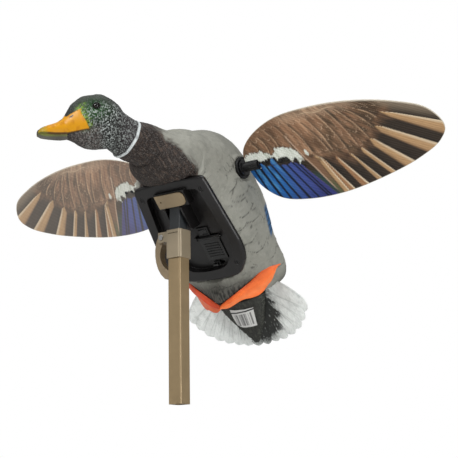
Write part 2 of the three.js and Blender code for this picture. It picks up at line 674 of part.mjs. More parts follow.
function doorLatch() {
  const { x, y } = LATCH;
  const plate = solid(box(x - 3, x + 2.8, y - 3.5, y + 6, TRAY_FLOOR - 2.2, TRAY_FLOOR - GAP));
  const thumb = solid(box(x - 1.2, x + 1.2, y - 2.5, y + 5, -69.5, TRAY_FLOOR - 2));
  const stem = solid(box(x - 1.4, x + 1.4, y - 3, y + 4, TRAY_FLOOR - 1, TRAY_TOP + GAP + 0.5));
  const keeper = solid(box(x - 3, x + 2.8, y - 3.5, y + 6, TRAY_TOP + GAP, TRAY_TOP + GAP + 1.5));
  return join(plate, thumb, stem, keeper);
}

// ---------------------------------------------------------------- switch
function switchBody() {
  const outer = solid(box(SWITCH_X - 4.5, SWITCH_X + 4.5, SWITCH_Y - 7, SWITCH_Y + 7, -64.5, -48));
  const flange = solid(
    box(SWITCH_X - 6, SWITCH_X + 6, SWITCH_Y - 8.5, SWITCH_Y + 8.5, -64.8, TRAY_FLOOR - GAP),
  );
  const well = solid(box(SWITCH_X - 3.4, SWITCH_X + 3.4, SWITCH_Y - 6, SWITCH_Y + 6, -70, -56));
  return cut(join(outer, flange), well);
}

const ROCKER_TILT = THREE.MathUtils.degToRad(12);
function switchRocker() {
  const wedge = [[-5.2, -3.2], [0, -1.6], [5.2, -3.2], [5.2, 0.4], [1.5, 3], [-1.5, 3], [-5.2, 0.4]];
  const shape = new THREE.Shape(wedge.map(([y, z]) => new THREE.Vector2(y, z)));
  const geometry = extrude(shape, -2.9, 2.9);
  // outline x is the body's y, outline y its z, and the depth lies along x
  geometry.applyMatrix4(new THREE.Matrix4().set(0, 0, 1, 0, 1, 0, 0, 0, 0, 1, 0, 0, 0, 0, 0, 1));
  geometry.rotateX(ROCKER_TILT);
  geometry.translate(SWITCH_X, SWITCH_Y, -63);
  return solid(geometry);
}

// ---------------------------------------------------------------- wing drive
function gearShape(teeth, phase) {
  const pitch = teeth / 2;
  const outer = pitch + 0.85;
  const root = pitch - 1.2;
  const step = (2 * Math.PI) / teeth;
  const shape = new THREE.Shape();
  const at = (radius, turns) => {
    const angle = phase + turns * step;
    return [radius * Math.cos(angle), radius * Math.sin(angle)];
  };
  for (let i = 0; i < teeth; i++) {
    const points = [at(root, i - 0.31), at(outer, i - 0.1), at(outer, i + 0.1), at(root, i + 0.31)];
    points.forEach((p, k) => (i + k === 0 ? shape.moveTo(...p) : shape.lineTo(...p)));
  }
  return shape;
}

// a toothed wheel whose axis lies along y, centred at y
function toothedWheel(teeth, phase, y, width, bore, centre) {
  const geometry = new THREE.ExtrudeGeometry(gearShape(teeth, phase), { depth: width, bevelEnabled: false });
  geometry.translate(0, 0, -width / 2);
  // outline x stays x, outline y becomes z, and the depth lies along -y
  geometry.applyMatrix4(new THREE.Matrix4().set(1, 0, 0, 0, 0, 0, -1, 0, 0, 1, 0, 0, 0, 0, 0, 1));
  geometry.translate(centre[0], y, centre[1]);
  return cut(solid(geometry), solid(rod('y', bore, y - width, y + width, centre, 16)));
}

const motorAxis = [CENTRE_DISTANCE * Math.cos(MOTOR_ANGLE), CENTRE_DISTANCE * Math.sin(MOTOR_ANGLE)];

function driveGear() {
  const wheel = toothedWheel(GEAR_TEETH, MOTOR_ANGLE, GEAR_Y, GEAR_WIDTH, SHAFT_RADIUS + GAP, [0, 0]);
  const bore = solid(rod('y', SHAFT_RADIUS + GAP, GEAR_Y - 10, GEAR_Y + 1));
  return join(wheel, cut(solid(rod('y', 6, GEAR_Y - 8, GEAR_Y)), bore));
}

function gearBracket() {
  const [mx, mz] = motorAxis;
  const points = [[-12, -57.5], [-12, 6], [-4, 12], [8, 12], [mx + 15, mz + 15], [mx + 15, -57.5]];
  const webShape = new THREE.Shape(points.map(([x, z]) => new THREE.Vector2(x, -z)));
  const web = solid(placeSlab(webShape, BRACKET_Y - 1, BRACKET_Y + 1));
  const floor = solid(box(-12, mx + 15, -34, BRACKET_Y + 1, TRAY_TOP + GAP, -57));
  const shaftHole = solid(rod('y', SHAFT_RADIUS + 1, -60, 60, [0, 0], 16));
  const motorHole = solid(rod('y', 4, -60, 60, motorAxis, 16));
  const screwHoles = bracketSpots.map(([x, y]) => solid(rod('z', 1.7, -70, -50, [x, y], 8)));
  return cut(join(web, floor), shaftHole, motorHole, ...screwHoles);
}

function bracketScrew([x, y]) {
  return join(solid(rod('z', 1.4, -62, -56, [x, y], 8)), solid(rod('z', 2.8, -57 + GAP, -54.2, [x, y], 8)));
}

function motorCan() {
  const start = BRACKET_Y + 1 + GAP;
  const end = start + MOTOR_LENGTH;
  const can = solid(rod('y', MOTOR_RADIUS, start, end, motorAxis));
  const nose = solid(rod('y', 3.5, start - 2.6, start + 1, motorAxis, 16));
  const tail = solid(rod('y', 4, end - 1, end + 2, motorAxis, 16));
  const [mx, mz] = motorAxis;
  const flat = solid(box(mx - 20, mx + 20, start - 5, end + 5, mz + 10, mz + 20));
  const bore = solid(rod('y', MOTOR_SHAFT_RADIUS + GAP, start - 5, end - 8, motorAxis, 12));
  return cut(join(can, nose, tail), flat, bore);
}

const motorShaft = () => rod('y', MOTOR_SHAFT_RADIUS, GEAR_Y - 6, BRACKET_Y + 22, motorAxis, 12);

function motorPinion() {
  const phase = MOTOR_ANGLE + Math.PI + Math.PI / PINION_TEETH;
  return toothedWheel(PINION_TEETH, phase, GEAR_Y, PINION_WIDTH, MOTOR_SHAFT_RADIUS + GAP, motorAxis);
}

function shaftBush(side) {
  const out = (a, b, radius) => solid(side > 0 ? rod('y', radius, a, b) : rod('y', radius, -b, -a));
  const flange = out(FLANGE_FACE - FLANGE_THICKNESS, FLANGE_FACE, FLANGE_RADIUS);
  const lipCore = out(FLANGE_FACE - 2, FLANGE_FACE + 2, FLANGE_RADIUS - 1.6);
  const lip = cut(out(FLANGE_FACE - 1, FLANGE_FACE + 1.2, FLANGE_RADIUS), lipCore);
  const barrel = out(FLANGE_FACE - FLANGE_THICKNESS - BUSH_DEPTH, FLANGE_FACE - 1, BUSH_RADIUS);
  return cut(join(flange, lip, barrel), out(0, 100, SHAFT_RADIUS + GAP));
}

function wingHub(side) {
  const out = (a, b, radius) => solid(side > 0 ? rod('y', radius, a, b) : rod('y', radius, -b, -a));
  const start = FLANGE_FACE + RUN_GAP;
  const disc = out(start, start + HUB_DISC, HUB_RADIUS);
  const sleeve = out(start, SLEEVE_END, SLEEVE_RADIUS);
  return cut(join(disc, sleeve), out(0, 120, SHAFT_RADIUS + GAP));
}

const hubMagnet = (side) => {
  const from = SHAFT_END + GAP;
  const to = from + MAGNET_LENGTH;
  return side > 0 ? rod('y', SHAFT_RADIUS, from, to) : rod('y', SHAFT_RADIUS, -to, -from);
};

// ---------------------------------------------------------------- wings
const wingOutline = [
  [8, -6], [10, 16], [28, 34], [70, 52], [122, 58.5], [176, 55], [226, 42], [262, 23], [274, -2],
  [262, -20], [228, -34], [180, -49], [122, -60], [70, -61], [34, -53], [14, -32],
];

function wingSheet(side) {
  const points = wingOutline.map(([span, chord]) => new THREE.Vector3(chord, side * (span + FLANGE_FACE), 0));
  const curve = new THREE.CatmullRomCurve3(points, true);
  const rim = curve.getPoints(60).slice(0, 60).map((p) => new THREE.Vector2(p.x, p.y));
  const half = SHEET_THICKNESS / 2;
  const plate = solid(extrude(new THREE.Shape(rim), SHEET_Z - half, SHEET_Z + half));
  const notchEnd = SLEEVE_END + 2;
  const span = (a, b) => (side > 0 ? [a, b] : [-b, -a]);
  const notch = solid(box(-SLEEVE_RADIUS - 1, SLEEVE_RADIUS + 1, ...span(60, notchEnd), -5, 5));
  const holes = RIVET_Y.map((y) => solid(rod('z', 1.5, -5, 5, [0, side * y], 8)));
  return cut(plate, notch, ...holes);
}

function wingStem(side) {
  const span = (a, b) => (side > 0 ? [a, b] : [-b, -a]);
  const start = SHAFT_END + MAGNET_LENGTH + 2 * GAP;
  const pinPart = solid(rod('y', 2.9, ...span(start, SLEEVE_END + 1.7), [0, 0], 16));
  const face = SHEET_Z + SHEET_THICKNESS / 2 + GAP;
  const tang = solid(box(-4.5, 4.5, ...span(SLEEVE_END + 0.6, TANG_END), face, face + TANG_THICKNESS));
  const holes = RIVET_Y.map((y) => solid(rod('z', 1.5, -5, 8, [0, side * y], 8)));
  return cut(join(pinPart, tang), ...holes);
}

function rivet(side, y) {
  const top = SHEET_Z + SHEET_THICKNESS / 2 + GAP + TANG_THICKNESS + GAP;
  const bottom = SHEET_Z - SHEET_THICKNESS / 2 - GAP;
  const shank = solid(rod('z', 1.2, bottom - 0.5, top + 0.5, [0, side * y], 8));
  const head = (a, b) => solid(rod('z', 2.2, a, b, [0, side * y], 8));
  return join(shank, head(top, top + 0.9), head(bottom - 0.6, bottom));
}

// ---------------------------------------------------------------- wiring and head screw
const leadRoutes = {
  motor_lead_red: [
    [19, 25.9, -12], [12, 30, -11], [-8, 31, -11], [-30, 26, -12], [-46, 13, -9], [-54.8, 9, -7.7],
  ],
  motor_lead_black: [
    [20, 25.9, -24], [14, 31, -27], [-6, 29, -34], [-28, 22, -38], [-42, 14, -40], [-46, 12, -47.5],
  ],
  switch_lead: [[-54.2, 24, -12], [-51.5, 24.1, -12.6], [-48.5, 22, -28], [-47.5, 17, -42], [-47, 16, -47.5]],
};

function lead(points, radius = 0.9) {
  const curve = new THREE.CatmullRomCurve3(points.map((p) => new THREE.Vector3(...p)));
  const sides = 6;
  const ring = Array.from({ length: sides }, (_, i) => {
    const angle = (i / sides) * 2 * Math.PI;
    return new THREE.Vector2(radius * Math.cos(angle), radius * Math.sin(angle));
  });
  const settings = { steps: 12, extrudePath: curve, bevelEnabled: false };
  return new THREE.ExtrudeGeometry(new THREE.Shape(ring), settings);
}

function headScrew() {
  const base = ringCentre.clone().addScaledVector(ringNormal, -14);
  const direction = ringNormal.clone();
  const turn = new THREE.Quaternion().setFromUnitVectors(new THREE.Vector3(0, 1, 0), direction);
  const piece = (radius, from, to) => {
    const geometry = new THREE.CylinderGeometry(radius, radius, to - from, 12);
    geometry.translate(0, (from + to) / 2, 0);
    geometry.applyQuaternion(turn);
    geometry.translate(base.x, base.y, base.z);
    return solid(geometry);
  };
  return { screw: join(piece(4, 8.2, 10.4), piece(1.8, 10, 22)), hole: piece(1.8 + GAP, 4, 30) };
}

// ---------------------------------------------------------------- assembly
add(pole, 'pole_tube', poleTube(), finish.poleMetal);
add(pole, 'pole_collar', poleCollar(), finish.tanPlastic);
add(pole, 'clamp_lever', clampLever(), finish.tanPlastic);
add(pole, 'lever_pin', leverPin(), finish.steel);

const screwParts = headScrew();
const shellCuts = [screwParts.hole, foot(1, GAP), foot(-1, GAP)];
add(body, 'body_shell', cut(bodyShell(tailFan(GAP)), ...shellCuts), finish.plumage);
add(body, 'head_screw', screwParts.screw, finish.steel);
add(body, 'tail_fan', tailFan(0), finish.tail);
add(body, 'label_sticker', labelSticker(), finish.sticker);
add(body, 'foot_left', foot(1), finish.orange);
add(body, 'foot_right', foot(-1), finish.orange);
add(body, 'belly_tray', bellyTray(), finish.tray);
add(body, 'mounting_peg', mountingPeg(), finish.peg);
add(body, 'badge_plate', badgePlate(), finish.tanPlastic);
screwSpots.forEach((spot, i) => add(body, `tray_screw_${i + 1}`, trayScrew(spot), finish.black));
add(body, 'battery_holder', batteryHolder(), finish.black);
[[0, 0, true], [1, 0, false], [0, 1, false], [1, 1, true]].forEach(([column, row, up], i) =>
  add(body, `battery_cell_${i + 1}`, batteryCell(column, row, up), finish.cell));
add(body, 'battery_contact', contactPlate(-6.1, -5.5), finish.brass);
add(body, 'battery_door', batteryDoor(), finish.tray);
add(body, 'door_contact', contactPlate(-62, -61.4), finish.brass);
const hingePin = rod('y', 1, BAY_Y - 19, BAY_Y + 19, [DOOR_HINGE_X, DOOR_HINGE_Z], 12);
add(body, 'door_hinge_pin', hingePin, finish.steel);
add(body, 'door_latch', doorLatch(), finish.tray);
add(body, 'switch_body', switchBody(), finish.black);
add(body, 'switch_rocker', switchRocker(), finish.black);
add(body, 'gear_bracket', gearBracket(), finish.motor);
bracketSpots.forEach((spot, i) => add(body, `bracket_screw_${i + 1}`, bracketScrew(spot), finish.steel));
add(body, 'motor_can', motorCan(), finish.motor);
add(body, 'motor_lead_red', lead(leadRoutes.motor_lead_red), finish.wireRed);
add(body, 'motor_lead_black', lead(leadRoutes.motor_lead_black), finish.wireBlack);
add(body, 'switch_lead', lead(leadRoutes.switch_lead), finish.wireRed);
add(body, 'motor_shaft', motorShaft(), finish.steel);
add(body, 'motor_pinion', motorPinion(), finish.brass);
add(body, 'drive_shaft', rod('y', SHAFT_RADIUS, -SHAFT_END, SHAFT_END), finish.steel);
add(body, 'drive_gear', driveGear(), finish.gear);
[['left', 1], ['right', -1]].forEach(([name, side]) => {
  add(body, `shaft_bush_${name}`, shaftBush(side), finish.black);
  add(body, `wing_hub_${name}`, wingHub(side), finish.black);
  add(body, `hub_magnet_${name}`, hubMagnet(side), finish.steel);
  add(wings, `wing_sheet_${name}`, wingSheet(side), finish.wing);
  add(wings, `wing_stem_${name}`, wingStem(side), finish.black);
  RIVET_Y.forEach((y, i) => add(wings, `wing_rivet_${name}_${i + 1}`, rivet(side, y), finish.black));
});

const head = new THREE.Group();
const screwPath = solid(geometryOf(screwParts.hole).applyMatrix4(body.matrixWorld));
add(head, 'head_shell', cut(headShell(), screwPath), finish.headPaint);
add(head, 'eye_left', ball(EYE_RADIUS, eyeSpot(1)), finish.eye);
add(head, 'eye_right', ball(EYE_RADIUS, eyeSpot(-1)), finish.eye);
decoy.add(head);

export default decoy;
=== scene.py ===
"""Motion wing decoy: the looks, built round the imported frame.

Lengths in the tables are millimetres, and lengths in materials, lights and the camera are metres. A piece is
made in a frame of its own (body, wing or head), and place() turns its points into metres in the row frame.
"""
import math

import bpy
import numpy as np
from mathutils import Matrix, Vector, noise


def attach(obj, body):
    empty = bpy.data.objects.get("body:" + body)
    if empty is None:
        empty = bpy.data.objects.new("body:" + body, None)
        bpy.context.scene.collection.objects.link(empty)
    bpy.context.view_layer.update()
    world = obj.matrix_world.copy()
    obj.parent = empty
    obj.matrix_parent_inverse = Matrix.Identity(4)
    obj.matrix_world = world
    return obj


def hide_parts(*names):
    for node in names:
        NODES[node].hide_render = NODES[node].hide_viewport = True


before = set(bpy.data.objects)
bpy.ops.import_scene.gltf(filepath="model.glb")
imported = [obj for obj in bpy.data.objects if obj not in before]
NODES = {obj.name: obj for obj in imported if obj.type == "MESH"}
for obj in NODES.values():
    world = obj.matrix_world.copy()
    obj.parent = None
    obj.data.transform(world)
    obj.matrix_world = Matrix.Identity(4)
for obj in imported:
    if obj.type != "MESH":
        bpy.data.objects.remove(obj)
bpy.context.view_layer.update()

MM = 0.001

# ------------------------------------------------------------------ frames
SHAFT = (-49.5, 0.0, 291.2)
BODY_PITCH = 48.5
WING_PITCH = 46.0
HEAD_CENTRE = (138.0, -15.7, 325.0)
HEAD_YAW = -38.0
HEAD_NOD = 14.0
RING_CENTRE = (93.0, -3.0, 307.0)
RING_NORMAL = (0.897, -0.253, 0.36)
RING_RADIUS = 24.0
RING_INSET = 0.15


def pitched(degrees):
    """The frame whose x points forward and up by an angle, with its origin on the wing shaft."""
    a = math.radians(degrees)
    m = np.eye(4)
    m[:3, 0] = math.cos(a), 0, math.sin(a)
    m[:3, 2] = -math.sin(a), 0, math.cos(a)
    m[:3, 3] = SHAFT
    return m


BODY = pitched(BODY_PITCH)
WING = pitched(WING_PITCH)
HEAD = np.array(
    Matrix.Translation(HEAD_CENTRE)
    @ Matrix.Rotation(math.radians(HEAD_YAW), 4, "Z")
    @ Matrix.Rotation(math.radians(HEAD_NOD), 4, "Y")
)
ROW = np.eye(4)


def place(matrix, points):
    return (np.asarray(points, float) @ matrix[:3, :3].T + matrix[:3, 3]) * MM


def local(matrix, points):
    """Points of the row frame, in metres, as millimetres in a piece's own frame."""
    return (np.asarray(points, float) / MM - matrix[:3, 3]) @ matrix[:3, :3]


def unit(v):
    v = np.asarray(v, float)
    return v / np.linalg.norm(v, axis=-1, keepdims=True)


def smooth(low, high, x):
    """0 below low, 1 above high, and an even slope between; low may be the larger."""
    t = np.clip((np.asarray(x, float) - low) / (high - low), 0, 1)
    return t * t * (3 - 2 * t)


def mix(a, b, t):
    """Blends two colours, or arrays of colours, by a weight for each point."""
    t = np.asarray(t, float)[..., None]
    return np.asarray(a, float) * (1 - t) + np.asarray(b, float) * t


def rgb(red, green, blue):
    """An sRGB colour out of 255 as the linear colour that Blender works in."""
    c = np.array([red, green, blue], float) / 255
    return np.where(c <= 0.04045, c / 12.92, ((c + 0.055) / 1.055) ** 2.4)


def fractal(points, size, octaves=3, seed=0.0):
    """Smooth noise, from about -1 to 1, at points in millimetres."""
    flat = np.asarray(points, float).reshape(-1, 3) / size + seed
    values = [noise.fractal(p, 1.0, 2.0, octaves) for p in flat.tolist()]
    return np.array(values).reshape(np.shape(points)[:-1])


# ------------------------------------------------------------------ curves and skins
def spline(points, t):
    """A centripetal curve through points, at values from 0 to 1."""
    p = np.asarray(points, float)
    q = np.vstack([2 * p[0] - p[1], p, 2 * p[-1] - p[-2]])
    n = len(p) - 1
    at = np.asarray(t, float) * n
    i = np.clip(at.astype(int), 0, n - 1)
    w = (at - i)[..., None]
    p0, p1, p2, p3 = q[i], q[i + 1], q[i + 2], q[i + 3]

    def knot(a, b):
        return (((a - b) ** 2).sum(-1) ** 0.25)[..., None]

    d0, d1, d2 = knot(p0, p1), knot(p1, p2), knot(p2, p3)
    d1 = np.where(d1 < 1e-4, 1, d1)
    d0 = np.where(d0 < 1e-4, d1, d0)
    d2 = np.where(d2 < 1e-4, d1, d2)
    t1 = ((p1 - p0) / d0 - (p2 - p0) / (d0 + d1) + (p2 - p1) / d1) * d1
    t2 = ((p2 - p1) / d1 - (p3 - p1) / (d1 + d2) + (p3 - p2) / d2) * d1
    return p1 + t1 * w + (3 * (p2 - p1) - 2 * t1 - t2) * w**2 + (2 * (p1 - p2) + t1 + t2) * w**3


def even_steps(points, count):
    """Values from 0 to 1 that lie evenly along a curve's length."""
    t = np.linspace(0, 1, 600)
    length = distance_along(spline(points, t))
    return np.interp(np.linspace(0, length[-1], count), length, t)


def swept(stations, t, sides):
    """Rings of a skin swept through stations, evenly spaced round each ring from the middle of its top.

    A station is x, y, z, half width, height above, depth below, and the squareness above and below.
    """
    table = np.asarray(stations, float)
    spine = spline(table[:, :3], t)
    size = spline(table[:, 3:6], t)
    square = spline(table[:, 6:8], t)
    tangent = unit(spline(table[:, :3], t + 1e-4) - spline(table[:, :3], t - 1e-4))
    left = unit(np.cross((0.0, 0.0, 1.0), tangent))
    top = np.cross(tangent, left)
    angle = np.linspace(0, 2 * math.pi, 721) + math.pi / 2
    c, s = np.cos(angle)[None], np.sin(angle)[None]
    power = 2 / np.where(s >= -1e-9, square[:, :1], square[:, 1:])
    across = -np.sign(c) * np.abs(c) ** power * size[:, :1]
    rise = np.sign(s) * np.abs(s) ** power
    rise = rise * np.where(rise >= 0, size[:, 1:2], size[:, 2:3])
    dense = spine[:, None] + across[..., None] * -left[:, None] + rise[..., None] * top[:, None]
    rings = np.empty((len(t), sides, 3))
    girth = np.empty(len(t))
    for k, ring in enumerate(dense):
        length = distance_along(ring)
        wanted = np.arange(sides) / sides * length[-1]
        rings[k] = np.stack([np.interp(wanted, length, ring[:, a]) for a in range(3)], 1)
        girth[k] = length[-1]
    return rings, girth


def ring_faces(rows, sides):
    """Faces of a tube of rows of points, closed by a fan to a middle point at each end (see capped)."""
    k = np.arange(rows * sides).reshape(rows, sides)
    a, b = k[:-1], np.roll(k, -1, axis=1)[:-1]
    c, d = np.roll(k, -1, axis=1)[1:], k[1:]
    faces = np.stack([a, b, c, d], -1).reshape(-1, 4).tolist()
    first, last = rows * sides, rows * sides + 1
    base = (rows - 1) * sides
    faces += [[first, (s + 1) % sides, s] for s in range(sides)]
    faces += [[last, base + s, base + (s + 1) % sides] for s in range(sides)]
    return faces


def capped(rings):
    """The points of a tube's rings, then the middle of its first ring and of its last."""
    flat = rings.reshape(-1, 3)
    return np.vstack([flat, rings[0].mean(0), rings[-1].mean(0)])


def capped_colours(colours):
    """Colours for the points that capped() gives."""
    flat = colours.reshape(-1, 3)
    return np.vstack([flat, flat[0], flat[-1]])


def hoop_faces(turns, rolls):
    """Faces of a closed hoop whose points run round it and round its section."""
    k = np.arange(turns * rolls).reshape(turns, rolls)
    quads = np.stack([k, np.roll(k, -1, 1), np.roll(np.roll(k, -1, 1), -1, 0), np.roll(k, -1, 0)], -1)
    return quads.reshape(-1, 4).tolist()


def only_used(faces):
    """The numbers of the points that faces use, and the faces renumbered to those points alone."""
    used = np.unique([v for f in faces for v in f])
    index = {int(v): k for k, v in enumerate(used)}
    return used, [[index[v] for v in f] for f in faces]


def share_round(sides):
    """Each point's share of the way round a ring: 0 at the middle of its top, and half way at the keel."""
    part = np.arange(sides) / sides
    return np.where(part > 0.5, part - 1, part)


def distance_along(points):
    """How far each point of a path lies from its start."""
    return np.r_[0, np.cumsum(np.linalg.norm(np.diff(points, axis=0), axis=1))]


def make(name, points, faces, material, body="decoy", replaces=(), colours=None, values=None):
    """A smooth-shaded piece from points in metres, with its colours and values kept for the material."""
    mesh = bpy.data.meshes.new(name)
    mesh.from_pydata(np.asarray(points, float).tolist(), [], faces)
    mesh.validate()
    mesh.update()
    mesh.shade_smooth()
    obj = bpy.data.objects.new(name, mesh)
    bpy.context.scene.collection.objects.link(obj)
    dress(obj, material, colours, values)
    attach(obj, body)
    if replaces:
        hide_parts(*replaces)
    return obj


def dress(obj, material, colours=None, values=None):
    """Gives a mesh its material, its colour for each point, and named values for each point."""
    mesh = obj.data
    mesh.materials.clear()
    mesh.materials.append(material)
    if colours is not None:
        layer = mesh.color_attributes.new("Paint", "FLOAT_COLOR", "POINT")
        rgba = np.c_[np.clip(colours, 0, 1).reshape(-1, 3), np.ones(len(mesh.vertices))]
        layer.data.foreach_set("color", rgba.astype(np.float32).ravel())
    for key, value in (values or {}).items():
        layer = mesh.attributes.new(key, "FLOAT", "POINT")
        layer.data.foreach_set("value", np.asarray(value, np.float32).ravel())


def outward(points, faces):
    """True if the faces of a closed mesh look outward."""
    p = np.asarray(points, float)
    total = 0.0
    for f in faces[:: max(1, len(faces) // 4000)]:
        total += float(np.dot(p[f[0]] - p.mean(0), np.cross(p[f[1]] - p[f[0]], p[f[2]] - p[f[0]])))
    return total > 0


def flipped(faces):
    return [list(reversed(f)) for f in faces]


def shell(points, faces):
    return faces if outward(points, faces) else flipped(faces)


def normals(rings):
    """Outward unit normals of rings of points that run round a closed skin."""
    along = np.gradient(rings, axis=0)
    around = np.roll(rings, -1, axis=1) - np.roll(rings, 1, axis=1)
    n = unit(np.cross(along, around) + 1e-9)
    centre = rings.mean(axis=1, keepdims=True)
    if (n * (rings - centre)).sum() < 0:
        n = -n
    return n


# ------------------------------------------------------------------ materials
class Graph:
    """A small helper that adds nodes to a material and links them."""

    def __init__(self, name):
        self.material = bpy.data.materials.new(name)
        self.material.use_nodes = True
        self.tree = self.material.node_tree
        self.shader = self.tree.nodes["Principled BSDF"]
        self.place = self.add("ShaderNodeTexCoord").outputs["Object"]

    def add(self, kind, **settings):
        node = self.tree.nodes.new(kind)
        for key, value in settings.items():
            setattr(node, key, value)
        return node

    def link(self, source, target):
        self.tree.links.new(source, target)

    def noise(self, scale, detail=3.0, stretch=None):
        node = self.add("ShaderNodeTexNoise")
        node.inputs["Scale"].default_value = scale
        node.inputs["Detail"].default_value = detail
        self.link(self.stretched(stretch) if stretch else self.place, node.inputs["Vector"])
        return node.outputs["Fac"]

    def stretched(self, stretch):
        """The object's own place, turned and stretched: (turn in degrees about x, y, z), (scale x, y, z)."""
        turn, scale = stretch
        node = self.add("ShaderNodeMapping")
        node.inputs["Rotation"].default_value = [math.radians(a) for a in turn]
        node.inputs["Scale"].default_value = scale
        self.link(self.place, node.inputs["Vector"])
        return node.outputs["Vector"]

    def ramp(self, value, low, high, out_low=0.0, out_high=1.0):
        node = self.add("ShaderNodeMapRange")
        node.clamp = True
        for key, number in (("From Min", low), ("From Max", high), ("To Min", out_low), ("To Max", out_high)):
            node.inputs[key].default_value = number
        self.link(value, node.inputs["Value"])
        return node.outputs["Result"]

    def math(self, operation, a, b):
        node = self.add("ShaderNodeMath", operation=operation)
        for k, value in enumerate((a, b)):
            if isinstance(value, (int, float)):
                node.inputs[k].default_value = value
            else:
                self.link(value, node.inputs[k])
        return node.outputs[0]

    def blend(self, weight, a, b, mode="MIX"):
        """Mixes two colours, each a list or a socket, by a weight socket or number."""
        node = self.add("ShaderNodeMix", data_type="RGBA", blend_type=mode)
        for socket, value in ((node.inputs[0], weight), (node.inputs[6], a), (node.inputs[7], b)):
            if isinstance(value, (int, float)):
                socket.default_value = value
            elif isinstance(value, (list, tuple, np.ndarray)):
                socket.default_value = (*value, 1.0)
            else:
                self.link(value, socket)
        return node.outputs[2]

    def attribute(self, name):
        return self.add("ShaderNodeAttribute", attribute_name=name)

    def bump(self, height, distance, strength=1.0, before=None):
        node = self.add("ShaderNodeBump")
        node.inputs["Strength"].default_value = strength
        node.inputs["Distance"].default_value = distance
        self.link(height, node.inputs["Height"])
        if before is not None:
            self.link(before, node.inputs["Normal"])
        return node.outputs["Normal"]

    def rounded(self, radius):
        node = self.add("ShaderNodeBevel", samples=4)
        node.inputs["Radius"].default_value = radius
        return node.outputs["Normal"]

    def finish(self, colour, roughness, normal=None, **numbers):
        if isinstance(colour, (list, tuple, np.ndarray)):
            self.shader.inputs["Base Color"].default_value = (*colour, 1.0)
        else:
            self.link(colour, self.shader.inputs["Base Color"])
        if isinstance(roughness, (int, float)):
            self.shader.inputs["Roughness"].default_value = roughness
        else:
            self.link(roughness, self.shader.inputs["Roughness"])
        if normal is not None:
            self.link(normal, self.shader.inputs["Normal"])
        for key, number in numbers.items():
            self.shader.inputs[key.replace("_", " ")].default_value = number
        return self.material


def moulded(name, colour, roughness=0.5, grain=900.0, depth=0.00006, mottle=0.12, edge=0.0005, **numbers):
    """Moulded plastic or painted metal: a little colour drift, a fine grain, wear-softened edges."""
    g = Graph(name)
    base = g.blend(g.ramp(g.noise(45.0), 0.3, 0.7), np.asarray(colour) * (1 - mottle),
                   np.clip(np.asarray(colour) * (1 + mottle), 0, 1))
    rough = g.ramp(g.noise(160.0), 0.3, 0.7, roughness - 0.06, roughness + 0.06)
    normal = g.bump(g.noise(grain, 2.0), depth, 0.6, g.rounded(edge))
    return g.finish(base, rough, normal, **numbers)


# ------------------------------------------------------------------ stage, light and camera
LENS = 90.55
CAMERA_TURN = math.radians(36.24)
CAMERA_RISE = math.radians(12.85)
CAMERA_ROLL = math.radians(-0.9)
CAMERA_DISTANCE = 1.415
AIM_HEIGHT = 0.2126
AIM_SHIFT = 0.06205
SKY = 0.36
FLOOR_HALF = 6.0
FLOOR_HEIGHT = -0.55


def camera():
    """The camera low in front of the bird's left side, looking up at it."""
    flat = math.cos(CAMERA_RISE)
    back = Vector((math.cos(CAMERA_TURN) * flat, math.sin(CAMERA_TURN) * flat, -math.sin(CAMERA_RISE)))
    level = (-back).cross(Vector((0, 0, 1))).normalized()
    high = level.cross(-back)
    right = math.cos(CAMERA_ROLL) * level + math.sin(CAMERA_ROLL) * high
    up = -math.sin(CAMERA_ROLL) * level + math.cos(CAMERA_ROLL) * high
    aim = Vector((0, 0, AIM_HEIGHT)) + level * AIM_SHIFT
    data = bpy.data.cameras.new("camera")
    data.lens = LENS
    data.sensor_width = 36.0
    data.clip_end = 50.0
    obj = bpy.data.objects.new("camera", data)
    turn = Matrix((right, up, back)).transposed().to_4x4()
    obj.matrix_world = Matrix.Translation(aim + back * CAMERA_DISTANCE) @ turn
    bpy.context.scene.collection.objects.link(obj)
    bpy.context.scene.camera = obj
    return aim, back, right, up


def area_light(name, aim, where, size, power):
    """A round white light that stands off from a place and faces it."""
    data = bpy.data.lights.new(name, "AREA")
    data.shape = "DISK"
    data.size = size
    data.energy = power
    obj = bpy.data.objects.new(name, data)
    obj.location = aim + where
    obj.rotation_mode = "QUATERNION"
    obj.rotation_quaternion = where.to_track_quat("Z", "Y")
    bpy.context.scene.collection.objects.link(obj)


def pale_world():
    """A white world that the camera sees at full strength and that lights the piece more softly."""
    world = bpy.data.worlds.new("studio")
    bpy.context.scene.world = world
    world.use_nodes = True
    tree = world.node_tree
    sky = tree.nodes["Background"]
    sky.inputs["Color"].default_value = (1.0, 1.0, 1.0, 1.0)
    path = tree.nodes.new("ShaderNodeLightPath")
    level = tree.nodes.new("ShaderNodeMapRange")
    level.inputs["To Min"].default_value = SKY
    level.inputs["To Max"].default_value = 1.0
    tree.links.new(path.outputs["Is Camera Ray"], level.inputs["Value"])
    tree.links.new(level.outputs["Result"], sky.inputs["Strength"])


def floor():
    """A pale floor below the pole's foot."""
    mesh = bpy.data.meshes.new("floor")
    corners = [(-1, -1), (1, -1), (1, 1), (-1, 1)]
    mesh.from_pydata([(x * FLOOR_HALF, y * FLOOR_HALF, FLOOR_HEIGHT) for x, y in corners], [], [(0, 1, 2, 3)])
    obj = bpy.data.objects.new("floor", mesh)
    bpy.context.scene.collection.objects.link(obj)
    mesh.materials.append(Graph("floor_paint").finish((0.78, 0.78, 0.77), 0.7))


def studio():
    """The camera, the world, three lights and the floor."""
    aim, back, right, up = camera()
    pale_world()
    area_light("key", aim, back * 1.1 - right * 1.3 + up * 1.4, 0.8, 40.0)
    area_light("fill", aim, back * 1.3 + right * 1.8 + up * 0.3, 1.0, 25.0)
    area_light("top", aim, Vector((-0.3, 0.2, 2.0)), 1.5, 13.0)
    bpy.context.scene.view_settings.view_transform = "Standard"
    floor()


